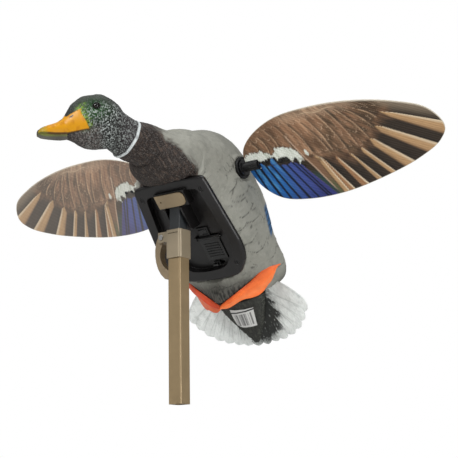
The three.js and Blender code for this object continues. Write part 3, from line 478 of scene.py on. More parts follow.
# ------------------------------------------------------------------ body
BODY_STATIONS = [
    (-166, 0, -30, 24, 14, 8, 2, 2),
    (-156, 0, -29, 46, 28, 18, 2, 2),
    (-146, 0, -28, 65, 41, 54, 1.9, 1.2),
    (-124, 0, -26, 72, 50, 49, 1.9, 1.6),
    (-90, 0, -26, 73.5, 57, 43, 1.9, 2.6),
    (-45, 0, -20, 74, 66, 48, 1.9, 3),
    (0, 0, -18, 64.5, 76, 50, 1.9, 3),
    (36, 0, -36, 55, 48, 36, 1.9, 2.6),
    (62, 0, -58, 47, 34, 33, 2, 2.2),
    (86, -1, -71, 28.5, 22, 29, 2, 2),
]
NECK_END = (106.3, -3, -96.3, 24, 24, 24, 2, 2)
TRAY_SEAT = -66.0
BREAST_LOW = 6.0
BREAST_HIGH = 98.0
BREAST_TURN = 0.295
BREAST_FADE = 0.07
BODY_SIDES = 330
BODY_ROWS = 205
NECK_BLEND = 26.0
TRAY_MARGIN = 0.5
SEAT_RADIUS = 14.4
SEAT_RIM = 19.0
SEAT_FACE = 60.9
THROAT = (84.0, -12.0, -110.0)


def quadratic(a, b, c, count=8):
    """Points along a curve from a to c that bends toward b, without its end."""
    t = np.linspace(0, 1, count, endpoint=False)[:, None]
    a, b, c = (np.asarray(p, float) for p in (a, b, c))
    return (1 - t) ** 2 * a + 2 * t * (1 - t) * b + t * t * c


def tray_outline():
    """The belly tray's edge, seen from below: x forward, y left."""
    left = np.vstack([
        quadratic((30, 0), (32.5, 23), (30, 46)),
        quadratic((30, 46), (31, 55), (21, 55.5)),
        quadratic((21, 55.5), (-20, 60), (-62, 64), 12),
        quadratic((-62, 64), (-88, 66), (-102, 50)),
        quadratic((-102, 50), (-111, 44), (-112, 30)),
        quadratic((-112, 30), (-114, 15), (-114, 0)),
    ])
    right = left[1:][::-1] * (1, -1)
    return np.vstack([left, right])


def edge_distance(points, outline):
    """How far points lie outside a closed outline (below 0 is inside), and the nearest place on it."""
    a = outline
    b = np.roll(outline, -1, axis=0)
    best = np.full(len(points), 1e9)
    nearest = np.zeros((len(points), 2))
    inside = np.zeros(len(points), bool)
    x, y = points[:, 0], points[:, 1]
    for p, q in zip(a, b):
        d = q - p
        t = np.clip(((points - p) @ d) / (d @ d + 1e-12), 0, 1)
        spot = p + t[:, None] * d
        gap = np.linalg.norm(points - spot, axis=1)
        closer = gap < best
        best[closer] = gap[closer]
        nearest[closer] = spot[closer]
        crosses = (p[1] > y) != (q[1] > y)
        inside ^= crosses & (x < (q[0] - p[0]) * (y - p[1]) / (q[1] - p[1] + 1e-12) + p[0])
    return np.where(inside, -best, best), nearest


def shingles(s, c, length, width, rise, seed, reach=1.45):
    """Overlapping rounded feathers over a skin: s runs to the tail, c runs round it, both in millimetres.

    Gives the height that the feathers add, and the distance to the visible feather's tip.
    """
    table = np.random.default_rng(seed).random((4096, 4))
    height = np.zeros_like(s)
    edge = np.full_like(s, 9.0)
    covered = np.zeros(s.shape, bool)
    first = np.floor(s / length).astype(int) - 2
    for ahead in range(4):
        row = first + ahead
        shift = np.where(row % 2 == 0, 0.0, 0.5)
        near = np.round(c / width - shift).astype(int)
        for side in (0, -1, 1):
            column = near + side
            jog = table[(row * 197 + column * 31) % 4096]
            middle = (column + shift + 0.22 * (jog[..., 0] - 0.5)) * width
            root = (row + 0.25 * (jog[..., 1] - 0.5)) * length
            half = width * (0.62 + 0.12 * jog[..., 2])
            off = (c - middle) / half
            tip = root + length * reach * (1 - 0.42 * off**2)
            hit = (np.abs(off) < 1) & (s >= root) & (s <= tip) & ~covered
            height[hit] = (rise * np.clip((s - root) / (length * reach), 0, 1))[hit]
            edge[hit] = (tip - s)[hit]
            covered |= hit
    return height, edge


def neck_axes():
    """The neck joint's axis, and the directions to the left of it and above it, in the row frame."""
    axis = unit(RING_NORMAL)
    left = unit(np.cross((0, 0, 1), axis))
    return axis, left, np.cross(axis, left)


def squared_end(rings, travel):
    """Turns the last rings into a circle square to the neck's joint, and fills the throat below it."""
    turn = BODY[:3, :3].T
    axis, _, up = (turn @ direction for direction in neck_axes())
    centre = turn @ (np.array(RING_CENTRE) - BODY[:3, 3]) - axis * RING_INSET
    left = unit(np.cross(rings[-1, 0] - rings[-1].mean(0), axis))
    top = np.cross(axis, left)
    angle = np.arange(rings.shape[1]) / rings.shape[1] * 2 * math.pi
    circle = centre + RING_RADIUS * (np.outer(np.cos(angle), top) + np.outer(np.sin(angle), left))

    def misfit(ring):
        return np.linalg.norm(ring - rings[-1], axis=1).sum()

    if misfit(circle) > misfit(circle[::-1]):
        circle = np.roll(circle[::-1], 1, axis=0)
    weight = smooth(travel[-1] - NECK_BLEND, travel[-1], travel)[:, None, None]
    throat = blob(rings, THROAT, (20, 26, 16), 6.0) * (1 - weight[..., 0])
    return rings + weight * (circle - rings[-1]) - throat[..., None] * up


def body_rings():
    """The body's smooth rings, how far along the body each one lies, and how long it is."""
    stations = BODY_STATIONS + [NECK_END]
    t = even_steps([row[:3] for row in stations], BODY_ROWS)
    rings, girth = swept(stations, t, BODY_SIDES)
    travel = distance_along(spline(np.array(stations)[:, :3], t))
    return squared_end(rings, travel), travel, girth


def body_swell(rings):
    """The body's broad swellings and its uneven moulding, in millimetres."""
    x, z = rings[..., 0], rings[..., 2]
    rump = 5.0 * np.exp(-(((x + 137) / 17) ** 2 + ((z + 22) / 22) ** 2))
    flank = 1.6 * np.exp(-(((x + 45) / 45) ** 2 + ((z - 2) / 18) ** 2))
    return rump + flank + 0.5 * fractal(rings, 26.0, 3, 9.0) + 0.16 * fractal(rings, 4.5, 2, 1.0)


def tray_skirt(flat, low, gap, near):
    """Brings the skin's underside down to the belly tray, with a straight wall round the tray's edge."""
    skirt = TRAY_SEAT - 0.1 + np.maximum(gap - 0.6, 0) * 1.15
    drop = np.clip(flat[:, 2] - skirt, 0, 14) * smooth(-28, -50, flat[:, 2])
    outside = low & (gap > TRAY_MARGIN)
    flat[outside, 2] -= drop[outside]
    flat[low & (gap <= TRAY_MARGIN), 2] = TRAY_SEAT - 0.1
    snap = low & (np.abs(gap - TRAY_MARGIN) < 0.8)
    way = unit((flat[snap, :2] - near[snap]) * np.sign(gap[snap])[:, None] + 1e-9)
    flat[snap, :2] = near[snap] + way * TRAY_MARGIN


def bush_seats(flat):
    """Makes a round, flat seat for the flange of each wing shaft's bush."""
    reach = np.linalg.norm(flat[:, [0, 2]], axis=1)
    for side in (1, -1):
        outer = flat[:, 1] * side > 30
        flat[(reach < SEAT_RADIUS) & outer, 1] = side * SEAT_FACE
        ridge = (reach >= SEAT_RADIUS) & (reach < SEAT_RIM) & outer
        wanted = SEAT_FACE + 0.7 + 0.6 * smooth(SEAT_RIM, SEAT_RADIUS, reach)
        blend_in = smooth(SEAT_RIM, 15.0, reach)
        flat[ridge, 1] = (flat[:, 1] * (1 - blend_in) + side * wanted * blend_in)[ridge]


def breast_line(part):
    """Where the breast's colour ends, as x: far forward on the back, and far back on the flank and belly."""
    share = 0.5 - 0.5 * np.tanh((np.abs(part) - BREAST_TURN) / BREAST_FADE)
    return BREAST_LOW + (BREAST_HIGH - BREAST_LOW) * share


def feather_cracks(rings, edge, fine, patchy):
    """Dark lines at the feathers' tips and in the cracks between them, as a weight."""
    line = smooth(1.5, 0.2, edge) * (1 - fine) * smooth(0.05, 0.6, patchy)
    crack = smooth(0.05, 0.012, np.abs(fractal(rings, 15.0, 2, 20.0)))
    crack = crack * smooth(0.0, 0.25, fractal(rings, 19.0, 2, 31.0))
    return np.maximum(line, 0.8 * crack * (1 - fine))


def body_paint(rings, x, part, lines):
    """The body's colours, and how far each point belongs to the breast."""
    grey = rgb(139, 139, 130)
    dark_grey = rgb(96, 95, 88)
    brown = rgb(34, 25, 21)
    pale_brown = rgb(82, 67, 57)
    y, z = rings[..., 1], rings[..., 2]
    mottled = fractal(rings, 9.0, 4, 2.0)
    streak = fractal(rings * (0.16, 1.0, 1.0), 2.2, 3, 6.0)
    paint = mix(grey, grey * 0.86, smooth(-0.2, 0.5, mottled))
    paint = mix(paint, grey * 1.14, 0.5 * smooth(0.1, 0.6, fractal(rings, 2.6, 2, 8.0)))
    paint = mix(paint, dark_grey * 0.28, 0.92 * lines)
    back = smooth(0.20, 0.07, np.abs(part))[None] * smooth(70, 30, x)
    paint = mix(paint, dark_grey, 0.55 * back)
    rump = smooth(-128, -150, x) * smooth(0.30, 0.20, np.abs(part))[None]
    paint = mix(paint, rgb(34, 34, 31), rump)
    breast = smooth(-6, 7, x - breast_line(part)[None] + 6.0 * streak + 4.0 * mottled)
    plum = mix(brown, pale_brown, 0.75 * smooth(0.05, 0.5, streak))
    paint = mix(paint, plum, breast)
    belly = smooth(-108, -128, x + 6 * streak + 0.10 * np.abs(y)) * smooth(-44, -60, z)
    paint = mix(paint, mix(rgb(88, 86, 80), rgb(22, 22, 20), smooth(-0.2, 0.25, streak)), 0.95 * belly)
    patch = smooth(3, -3, np.abs(x + 72 + 3 * mottled) - 17)
    patch = patch * smooth(-19, -13, z - 0.3 * (x + 72)) * smooth(26, 16, z)
    bars = smooth(0.25, 0.5, np.abs((x / 6.5) % 1.0 - 0.5))
    return mix(paint, mix(rgb(40, 86, 128), rgb(18, 26, 38), bars), patch), breast


def body_skin():
    """The painted body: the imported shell's rings, a little fuller at the rump and throat, with feathers."""
    rings, travel, girth = body_rings()
    part = share_round(BODY_SIDES)
    s = np.repeat((travel[-1] - travel)[:, None], BODY_SIDES, 1)
    c = part[None] * girth[:, None]
    n = normals(rings)
    x = rings[..., 0]
    flat = rings.reshape(-1, 3)
    low = flat[:, 2] < -27
    gap = np.full(len(flat), 99.0)
    near = np.zeros((len(flat), 2))
    gap[low], near[low] = edge_distance(flat[low][:, :2], tray_outline())

    # soft feathers, big on the back and flanks, small on the breast and rump, none at the tray and bushes
    big, big_edge = shingles(s, c, 17.0, 24.0, 1.25, 3)
    small, _ = shingles(s, c, 7.5, 10.0, 0.55, 5)
    patchy = smooth(-0.25, 0.3, fractal(rings, 34.0, 2, 3.1))
    fine = np.maximum(smooth(18, 44, x + 0.25 * rings[..., 2] + 10), smooth(-122, -140, x))
    lift = (1 - fine) * big * (0.3 + 0.7 * patchy) + fine * small * 0.7
    hub = np.linalg.norm(rings[..., [0, 2]], axis=-1)
    calm = smooth(-3.0, 9.0, gap).reshape(s.shape) * smooth(14.0, SEAT_RIM, hub)
    rings = rings + n * ((lift + body_swell(rings)) * calm)[..., None]

    ends = capped(rings)
    tray_skirt(ends[:-2], low, gap, near)
    bush_seats(ends[:-2])
    under_tray = np.r_[(gap < -5.0) & low, False, False]
    faces = [f for f in ring_faces(len(rings), BODY_SIDES) if not all(under_tray[v] for v in f)]
    used, faces = only_used(faces)
    paint, breast = body_paint(rings, x, part, feather_cracks(rings, big_edge, fine, patchy))
    hair = np.maximum(breast, 0.25 * (1 - breast)).ravel()
    points = place(BODY, ends[used])
    make("body_skin", points, shell(points, faces), plumage_paint("plumage_paint"), "decoy",
         ["body_shell"], capped_colours(paint)[used], {"Hair": np.r_[hair, 0.0, 1.0][used]})


def plumage_paint(name):
    """Sprayed and brushed paint over moulded feathers."""
    g = Graph(name)
    paint = g.attribute("Paint").outputs["Color"]
    hair = g.attribute("Hair").outputs["Fac"]
    strands = g.noise(1.0, 4.0, ((0, BODY_PITCH, 0), (260.0, 1700.0, 1700.0)))
    fleck = g.noise(2400.0, 2.0)
    light = g.blend(0.55, paint, [1.0, 0.96, 0.9])
    strand_mask = g.math("MULTIPLY", g.ramp(strands, 0.56, 0.68), hair)
    base = g.blend(g.math("MULTIPLY", strand_mask, 0.28), paint, light)
    base = g.blend(g.ramp(fleck, 0.35, 0.75, 0.0, 0.3), base, g.blend(0.5, base, [0.02, 0.02, 0.02]))
    rough = g.ramp(g.noise(120.0), 0.3, 0.7, 0.55, 0.72)
    first = g.bump(g.noise(700.0, 4.0), 0.0004, 0.35)
    second = g.bump(g.math("MULTIPLY", strands, hair), 0.0007, 0.8, first)
    return g.finish(base, rough, second, Specular_IOR_Level=0.3)


# ------------------------------------------------------------------ head
NECK_STATIONS = [
    (93.1, -3.0, 307.1, 24, 24, 24, 2, 2),
    (109, -8, 313.5, 24, 24.5, 21, 2, 2),
    (123, -12.5, 321, 23, 25, 22, 2, 2),
    (134, -16, 323, 19, 21, 23, 2, 2),
]
SKULL_STATIONS = [
    (-36, 0, -8, 7, 6, 8, 2, 2),
    (-28, 0, -7, 18, 19, 22, 2, 2),
    (-12, 0, -6, 23, 31.5, 33.5, 2.1, 2.1),
    (6, 0, -6, 22.5, 32.5, 32, 2.1, 2.1),
    (20, 0, -6, 18.5, 26, 28, 2.1, 2.1),
    (29, 0, -7, 14.5, 15.5, 22, 2, 2),
    (37, 0, -9, 11.5, 9.5, 13.5, 2, 2),
    (44, 0, -11, 5, 4, 6, 2, 2),
]
BILL_STATIONS = [
    (14, 0, -6, 13, 12, 14, 2, 2),
    (30, 0, -8, 13, 12.5, 13, 2, 2),
    (43, 0, -9.5, 12.7, 10.3, 11, 2, 2),
    (56, 0, -9.5, 13.8, 8, 7, 2.2, 2.2),
    (63.5, 0, -9, 12.2, 5, 4.6, 2.3, 2.3),
    (67.3, 0, -8.8, 7.5, 3, 2.6, 2.2, 2.2),
]
MOUTH = [(8, -19.5), (14, -18.6), (35, -16.6), (50, -14.6), (61, -12.3), (68, -10)]
EYE = (-2.3, 19.3, 7.0)
EYE_RADIUS = 4.2
HEAD_VOXEL = 0.00105  # metres, as the remeshed points are
HEAD_SIDES = 96
BILL_SIDES = 120


def mouth_line(h):
    """The height of the mouth at places along the head."""
    table = np.array(MOUTH, float)
    return np.interp(h, table[:, 0], table[:, 1])


def remeshed(parts, voxel, rounds):
    """One even, smoothed skin round overlapping closed skins: its points, normals and faces."""
    points, faces, start = [], [], 0
    for p, f in parts:
        points += p.tolist()
        faces += [[v + start for v in face] for face in f]
        start += len(p)
    mesh = bpy.data.meshes.new("scratch")
    mesh.from_pydata(points, [], faces)
    obj = bpy.data.objects.new("scratch", mesh)
    bpy.context.scene.collection.objects.link(obj)
    grid = obj.modifiers.new("grid", "REMESH")
    grid.mode = "VOXEL"
    grid.voxel_size = voxel
    relax = obj.modifiers.new("relax", "SMOOTH")
    relax.factor = 0.5
    relax.iterations = rounds
    done = obj.evaluated_get(bpy.context.evaluated_depsgraph_get())
    result = done.to_mesh()
    count = len(result.vertices)
    co, no = np.zeros(count * 3, np.float32), np.zeros(count * 3, np.float32)
    result.vertices.foreach_get("co", co)
    result.vertices.foreach_get("normal", no)
    made = [list(p.vertices) for p in result.polygons]
    done.to_mesh_clear()
    bpy.data.objects.remove(obj)
    bpy.data.meshes.remove(mesh)
    return co.reshape(-1, 3).astype(float), no.reshape(-1, 3).astype(float), made


def blob(points, centre, size, height):
    """A rounded swelling (or dent) at a place, for points in the same frame."""
    d = np.linalg.norm((points - np.asarray(centre, float)) / np.asarray(size, float), axis=-1)
    return height * np.exp(-2.2 * d * d)


def bill_edge(p):
    """Distance inside the yellow of the bill, in millimetres, for points in the head's frame."""
    h, up = p[..., 0], p[..., 2]
    rear = np.interp(up, [-21, -10, 2, 13], [11.0, 13.0, 16.5, 14.5])
    top = np.where(h < 38, 7.4 - (h - 16.9) * 0.27, 40.0)
    wedge = np.where(h > 33, np.abs(p[..., 1]) - np.interp(h, [33, 46, 54], [5.5, 1.6, -2.0]), 40.0)
    top_gap = np.where(h < 38, np.maximum(top - up, wedge - 80 * (h <= 33)), wedge)
    return np.minimum.reduce([h - rear, top_gap, up - mouth_line(h)])


def head_paint_values(p):
    """Colour, fleck, hair and bill values for points in the head's frame."""
    h, side, up = p[..., 0], np.abs(p[..., 1]), p[..., 2]
    soft = fractal(p, 8.0, 3, 4.0)
    fine = fractal(p, 2.4, 3, 7.0)
    black = rgb(22, 24, 22)
    crown = rgb(56, 60, 55)
    green = rgb(26, 70, 22)
    moss = rgb(118, 152, 30)
    plum = rgb(50, 43, 46)
    chin = rgb(64, 56, 54)
    paint = np.broadcast_to(black, p.shape).copy()
    paint = mix(paint, crown, smooth(10, 22, up + 3 * soft))
    cheek = np.exp(-(((h - 2) / 17) ** 2 + ((up - 3) / 12) ** 2)) * smooth(6, 14, side)
    paint = mix(paint, green, np.clip(cheek * (1.05 + 0.9 * fine), 0, 1))
    gap = bill_edge(p)
    halo = smooth(-8, -1.0, gap) * smooth(-27, -14, up) * smooth(24, 17, h)
    paint = mix(paint, moss, halo * smooth(-0.45, 0.25, fine) * 0.9)
    low = smooth(-13, -21, up + 2 * soft) * smooth(-8, 6, h)
    bristle = fractal(p * (1.0, 1.0, 0.35), 1.3, 2, 9.0)
    paint = mix(paint, mix(chin * 0.6, rgb(120, 112, 108), smooth(-0.1, 0.5, bristle)), low * 0.9)
    neck = smooth(-18, -42, h + 0.2 * up)
    paint = mix(paint, plum, neck * 0.8)
    fleck = 0.10 + 0.90 * smooth(16, 0, up + 2 * soft) * smooth(30, 10, h) * smooth(-60, -44, h - 0.3 * up)
    fleck = fleck * (1 - 0.55 * low) * (1 - 0.25 * neck) * (0.75 + 0.5 * soft)
    return paint, fleck, gap


def bill_colours(p):
    """The bill's own colours: yellow above the mouth, grey below, a dark nail and a greenish rim."""
    h, side, up = p[..., 0], np.abs(p[..., 1]), p[..., 2]
    soft = fractal(p, 6.0, 3, 2.0)
    yellow = rgb(196, 136, 12)
    amber = rgb(170, 106, 6)
    rim = rgb(120, 130, 50)
    grey = rgb(96, 94, 88)
    dark = rgb(24, 24, 20)
    paint = mix(yellow, amber, smooth(0.0, 0.5, soft) * 0.5)
    above = up - mouth_line(h)
    paint = mix(paint, dark, smooth(1.9, 0.7, above) * 0.85)
    paint = mix(paint, rim, smooth(55, 62, h + 1.5 * soft) * 0.55)
    paint = mix(paint, dark, smooth(57.5, 59.5, h) * smooth(8.5, 6.5, side) * smooth(1.5, 2.5, above))
    below = mix(grey, rim, 0.85 * smooth(-3.6, -1, above) * smooth(3, 9, side))
    below = mix(below, rgb(60, 58, 54), smooth(30, 46, h) * smooth(60, 46, h) * 0.5)
    paint = mix(paint, below, smooth(-0.2, -0.8, above))
    nostril = ((h - 27.5) / 2.6) ** 2 + ((up - 1.0 + 0.25 * (h - 27.5)) / 1.1) ** 2
    paint = mix(paint, rgb(30, 24, 12), smooth(1.15, 0.85, nostril) * smooth(4, 6, side))
    return paint, nostril


def head_skin():
    """Neck and head as one skin, with cheeks, brows, eye sockets and brushed feathers."""
    t = even_steps([row[:3] for row in NECK_STATIONS], 30)
    neck, _ = swept(NECK_STATIONS, t, HEAD_SIDES)
    t = even_steps([row[:3] for row in SKULL_STATIONS], 40)
    skull, _ = swept(SKULL_STATIONS, t, HEAD_SIDES)
    parts = []
    for matrix, rings in ((ROW, neck), (HEAD, skull)):
        points = place(matrix, capped(rings))
        parts.append((points, shell(points, ring_faces(len(rings), HEAD_SIDES))))
    co, no, faces = remeshed(parts, HEAD_VOXEL, 7)
    p = local(HEAD, co)
    mirrored = np.abs(p) * (0, 1, 0) + p * (1, 0, 1)
    push = blob(mirrored, (6, 20, -9), (15, 10, 11), 2.2)
    push += blob(mirrored, EYE, (6.0, 8, 5.5), -2.4)
    push += blob(mirrored, (1, 19, 15.5), (10, 7, 3.6), 1.3)
    push += blob(mirrored, (18, 12, 9), (8, 7, 6), -0.9)
    groove = np.abs(p[:, 2] - mouth_line(p[:, 0])) < 0.8
    push -= 0.7 * groove * smooth(9, 12, p[:, 0])
    gap = bill_edge(p)
    bare = smooth(-0.6, 0.6, gap)
    feather = 0.38 * fractal(p * (0.35, 1, 1), 2.1, 3, 5.0) + 0.12 * fractal(p, 7.0, 2, 3.0)
    push += feather * (1 - bare) + 0.5 * bare
    co = co + no * push[:, None] * MM
    paint, fleck, gap = head_paint_values(p)
    yellow, _ = bill_colours(p)
    paint = mix(paint, yellow, bare)
    values = {"Fleck": fleck * (1 - bare), "Bare": bare}
    make("head_skin", co, faces, MATERIALS["head_paint"], "decoy", ["head_shell"],
         paint, values)


def bill_piece():
    """The bill, with a groove and lip along the mouth, a nail at its tip and nostrils."""
    t = even_steps([row[:3] for row in BILL_STATIONS], 110)
    rings, _ = swept(BILL_STATIONS, t, BILL_SIDES)
    n = normals(rings)
    h, side, up = rings[..., 0], rings[..., 1], rings[..., 2]
    above = up - mouth_line(h)
    rings[..., 1] = side * (1 - 0.16 * smooth(0.1, -0.7, above) * smooth(70, 60, h))
    groove = np.exp(-((above / 0.55) ** 2)) * smooth(69, 64, h)
    rings = rings - n * (0.75 * groove)[..., None]
    lip = np.exp(-(((above - 1.5) / 0.9) ** 2)) * smooth(69, 60, h)
    nail = smooth(57.0, 59.5, h) * smooth(8.6, 7.0, np.abs(side)) * smooth(0, 1, above)
    tall = blob(rings, (34, 0, 4), (12, 4, 8), 0.9)
    colours, nostril = bill_colours(rings)
    dent = smooth(1.4, 0.5, nostril) * smooth(4, 6, np.abs(side))
    skin = 0.10 * fractal(rings, 3.0, 2, 4.0)
    rings = rings + n * (0.4 * lip + 0.55 * nail + tall + skin - 0.5 * dent)[..., None]
    gap = bill_edge(rings)
    paint, fleck, _ = head_paint_values(rings)
    bare = np.maximum(smooth(-0.5, 0.5, gap), smooth(0.0, -0.4, above))
    bare = np.maximum(bare, smooth(38, 42, h))
    paint = mix(paint, colours, bare)

    def with_ends(a):
        return np.r_[a.reshape(-1), a[0].mean(), a[-1].mean()]

    points = place(HEAD, capped(rings))
    faces = shell(points, ring_faces(len(t), BILL_SIDES))
    values = {"Fleck": with_ends(fleck * (1 - bare)), "Bare": with_ends(bare)}
    paint = np.vstack([paint.reshape(-1, 3), paint[0, 0], paint[-1, 0]])
    make("bill_skin", points, faces, MATERIALS["head_paint"], "decoy", (), paint, values)


def turns_by(first, second):
    """Two angles at every crossing of two counts of even steps round a full turn."""
    steps = (np.arange(count) / count * 2 * math.pi for count in (first, second))
    return np.meshgrid(*steps, indexing="ij")


def eye_ball(name, side, centre):
    """A glass ball that bulges a little at its pole, with a brown iris and a dark pupil."""
    tilt = np.linspace(0.0, math.pi * 0.98, 32)
    lat, lon = np.meshgrid(tilt, np.arange(48) / 48 * 2 * math.pi, indexing="ij")
    ball = np.stack([np.sin(lat) * np.cos(lon), side * np.cos(lat), np.sin(lat) * np.sin(lon)], -1)
    bulge = 1 + 0.05 * smooth(0.75, 0.2, lat)
    points = place(HEAD, capped(centre + ball * EYE_RADIUS * bulge[..., None]))
    ring = mix(rgb(34, 22, 12), rgb(5, 5, 5), smooth(0.66, 0.56, lat))
    paint = np.vstack([ring.reshape(-1, 3), ring[0, 0], ring[-1, 0]])
    make(f"eye_glass_{name}", points, shell(points, ring_faces(*lat.shape)), MATERIALS["glass_eye"],
         "decoy", [f"eye_{name}"], paint)


def eye_lid(name, side, centre):
    """A thin raised lid round an eye, a little longer than it is high."""
    turn, roll = turns_by(64, 14)
    radius = 3.75 + 0.50 * np.cos(roll)
    almond = 1 + 0.16 * np.cos(turn) ** 2
    out = 3.1 - 0.5 * np.cos(turn) ** 2 + 0.75 * np.sin(roll)
    lid = np.stack([radius * np.cos(turn) * almond, side * out, radius * np.sin(turn) * 0.92], -1)
    points = place(HEAD, (centre + lid).reshape(-1, 3))
    colours = np.broadcast_to(rgb(12, 18, 11), (len(points), 3))
    values = {"Fleck": np.full(len(points), 0.1), "Bare": np.zeros(len(points))}
    make(f"eyelid_{name}", points, shell(points, hoop_faces(*turn.shape)), MATERIALS["head_paint"],
         "decoy", (), colours, values)


def eyes():
    for name, side in (("left", 1), ("right", -1)):
        centre = np.array(EYE) * (1, side, 1)
        eye_ball(name, side, centre)
        eye_lid(name, side, centre)


def neck_ring():
    """The white collar of feathers, a ribbed band round the neck's joint, greyed with painted shade along both
    edges where it meets the skin.
    """
    axis, left, top = neck_axes()
    turn, roll = turns_by(420, 20)
    ribs = 0.22 * np.cos(turn * 84) * np.maximum(np.cos(roll), 0)
    wobble = 0.35 * np.sin(turn * 3 + 1) + 0.25 * np.sin(turn * 7)
    radius = RING_RADIUS + RING_INSET + np.sign(np.cos(roll)) * np.abs(np.cos(roll)) ** 0.7 + ribs
    along = np.sign(np.sin(roll)) * np.abs(np.sin(roll)) ** 0.8 * 2.0 + wobble
    points = (np.array(RING_CENTRE) + axis * along[..., None]
              + left * (radius * np.cos(turn))[..., None] + top * (radius * np.sin(turn))[..., None])
    flat = points.reshape(-1, 3) * MM
    white = rgb(216, 222, 222)
    paint = mix(white, rgb(120, 122, 124), smooth(0.1, 0.6, fractal(points, 5.0, 3, 3.0)) * 0.5)
    # painted shade along both edges of the band, where it meets the skin
    paint = mix(paint, rgb(96, 98, 100), smooth(0.5, 0.95, np.abs(np.sin(roll))) * 0.6)
    make("neck_ring", flat, shell(flat, hoop_faces(*turn.shape)), MATERIALS["feather_white"],
         "decoy", (), paint.reshape(-1, 3))


# ------------------------------------------------------------------ paints used by several pieces
RIB_PITCH = 0.0022
FLECKS = 0.85


def feather_graph(name):
    """Brushed paint over fine feathers, with scattered pale flecks where the points ask for them."""
    g = Graph(name)
    paint = g.attribute("Paint").outputs["Color"]
    fleck = g.attribute("Fleck").outputs["Fac"]
    bare = g.attribute("Bare").outputs["Fac"]
    dots = g.ramp(g.noise(760.0, 2.0, ((20, 0, 0), (0.8, 1.0, 0.55))), 0.50, 0.60)
    base = g.blend(g.math("MULTIPLY", g.math("MULTIPLY", dots, fleck), FLECKS), paint, [0.46, 0.50, 0.48])
    dark = g.ramp(g.noise(900.0, 3.0, ((0, 0, 30), (0.5, 1.0, 1.0))), 0.35, 0.6, 0.35, 0.0)
    coat = g.math("SUBTRACT", 1.0, bare)
    base = g.blend(g.math("MULTIPLY", dark, coat), base, [0.012, 0.014, 0.012])
    skin = g.ramp(g.noise(220.0), 0.3, 0.7, 0.36, 0.46)
    rough = g.math("ADD", g.math("MULTIPLY", coat, 0.16), skin)
    strands = g.noise(1100.0, 4.0, ((0, 0, 25), (0.45, 1.0, 1.0)))
    first = g.bump(g.math("MULTIPLY", strands, coat), 0.0006, 0.7)
    second = g.bump(g.noise(350.0, 3.0), 0.0003, 0.25, first)
    return g.finish(base, rough, second, Specular_IOR_Level=0.25)


def painted(name, roughness, grain, depth):
    """The point colours with a little drift, over a fine grain."""
    g = Graph(name)
    paint = g.attribute("Paint").outputs["Color"]
    dim = g.blend(1.0, paint, [0.86, 0.86, 0.86], "MULTIPLY")
    base = g.blend(g.ramp(g.noise(90.0, 4.0), 0.35, 0.65), paint, dim)
    rough = g.ramp(g.noise(150.0), 0.3, 0.7, roughness - 0.05, roughness + 0.05)
    return g.finish(base, rough, g.bump(g.noise(grain, 3.0), depth, 0.5))


def wing_print():
    """The printed sheet: its point colours crossed by painted shade and a faint painted highlight that follow
    the fine pressed ribs running along the span.
    """
    g = Graph("wing_print")
    paint = g.attribute("Paint").outputs["Color"]
    chord = g.add("ShaderNodeVectorMath", operation="DOT_PRODUCT")
    g.link(g.place, chord.inputs[0])
    chord.inputs[1].default_value = WING[:3, 0]
    wave = g.math("SINE", g.math("MULTIPLY", chord.outputs["Value"], 2 * math.pi / RIB_PITCH), 0.0)
    drift = g.ramp(g.noise(90.0, 4.0), 0.35, 0.65, 0.0, 0.12)
    dim = g.blend(1.0, paint, [0.70, 0.68, 0.66], "MULTIPLY")
    pale = g.blend(0.02, paint, [0.9, 0.85, 0.8])
    # painted shade in the rib grooves and a faint painted highlight on their crests
    ribs = g.blend(g.ramp(wave, -0.9, 0.9), g.blend(0.55, paint, dim), pale)
    base = g.blend(drift, ribs, dim)
    normal = g.bump(wave, 0.00008, 0.5, g.bump(g.noise(1500.0, 3.0), 0.00005, 0.5))
    return g.finish(base, g.ramp(g.noise(150.0), 0.3, 0.7, 0.45, 0.55), normal, Specular_IOR_Level=0.12)


def glass_eye():
    """Glossy glass over the iris's own colours."""
    g = Graph("glass_eye")
    paint = g.attribute("Paint").outputs["Color"]
    base = g.blend(g.ramp(g.noise(900.0, 3.0), 0.4, 0.7, 0.0, 0.35), paint, [0.004, 0.003, 0.003])
    return g.finish(base, 0.05, None, Coat_Weight=0.3, Coat_Roughness=0.03, Specular_IOR_Level=0.35)


def metal(name, colour, roughness, direction=(0.05, 1.0, 1.0)):
    """Bare or plated metal with fine lines along it."""
    g = Graph(name)
    lines = g.noise(900.0, 3.0, ((0, 0, 0), direction))
    base = g.blend(g.ramp(lines, 0.35, 0.65, 0.0, 0.2), list(colour), list(np.asarray(colour) * 0.45))
    rough = g.ramp(g.noise(110.0), 0.3, 0.7, roughness - 0.07, roughness + 0.07)
    return g.finish(base, rough, g.bump(lines, 0.00005, 0.5, g.rounded(0.0004)), Metallic=1.0)


MATERIALS = {
    "head_paint": feather_graph("head_paint"),
    "glass_eye": glass_eye(),
    "feather_white": painted("feather_white", 0.7, 900.0, 0.0005),
    "tail_feather": painted("tail_feather", 0.62, 1200.0, 0.0003),
    "undertail": painted("undertail", 0.72, 900.0, 0.0008),
    "foot_skin": painted("foot_skin", 0.48, 800.0, 0.0004),
    "wing_print": wing_print(),
}


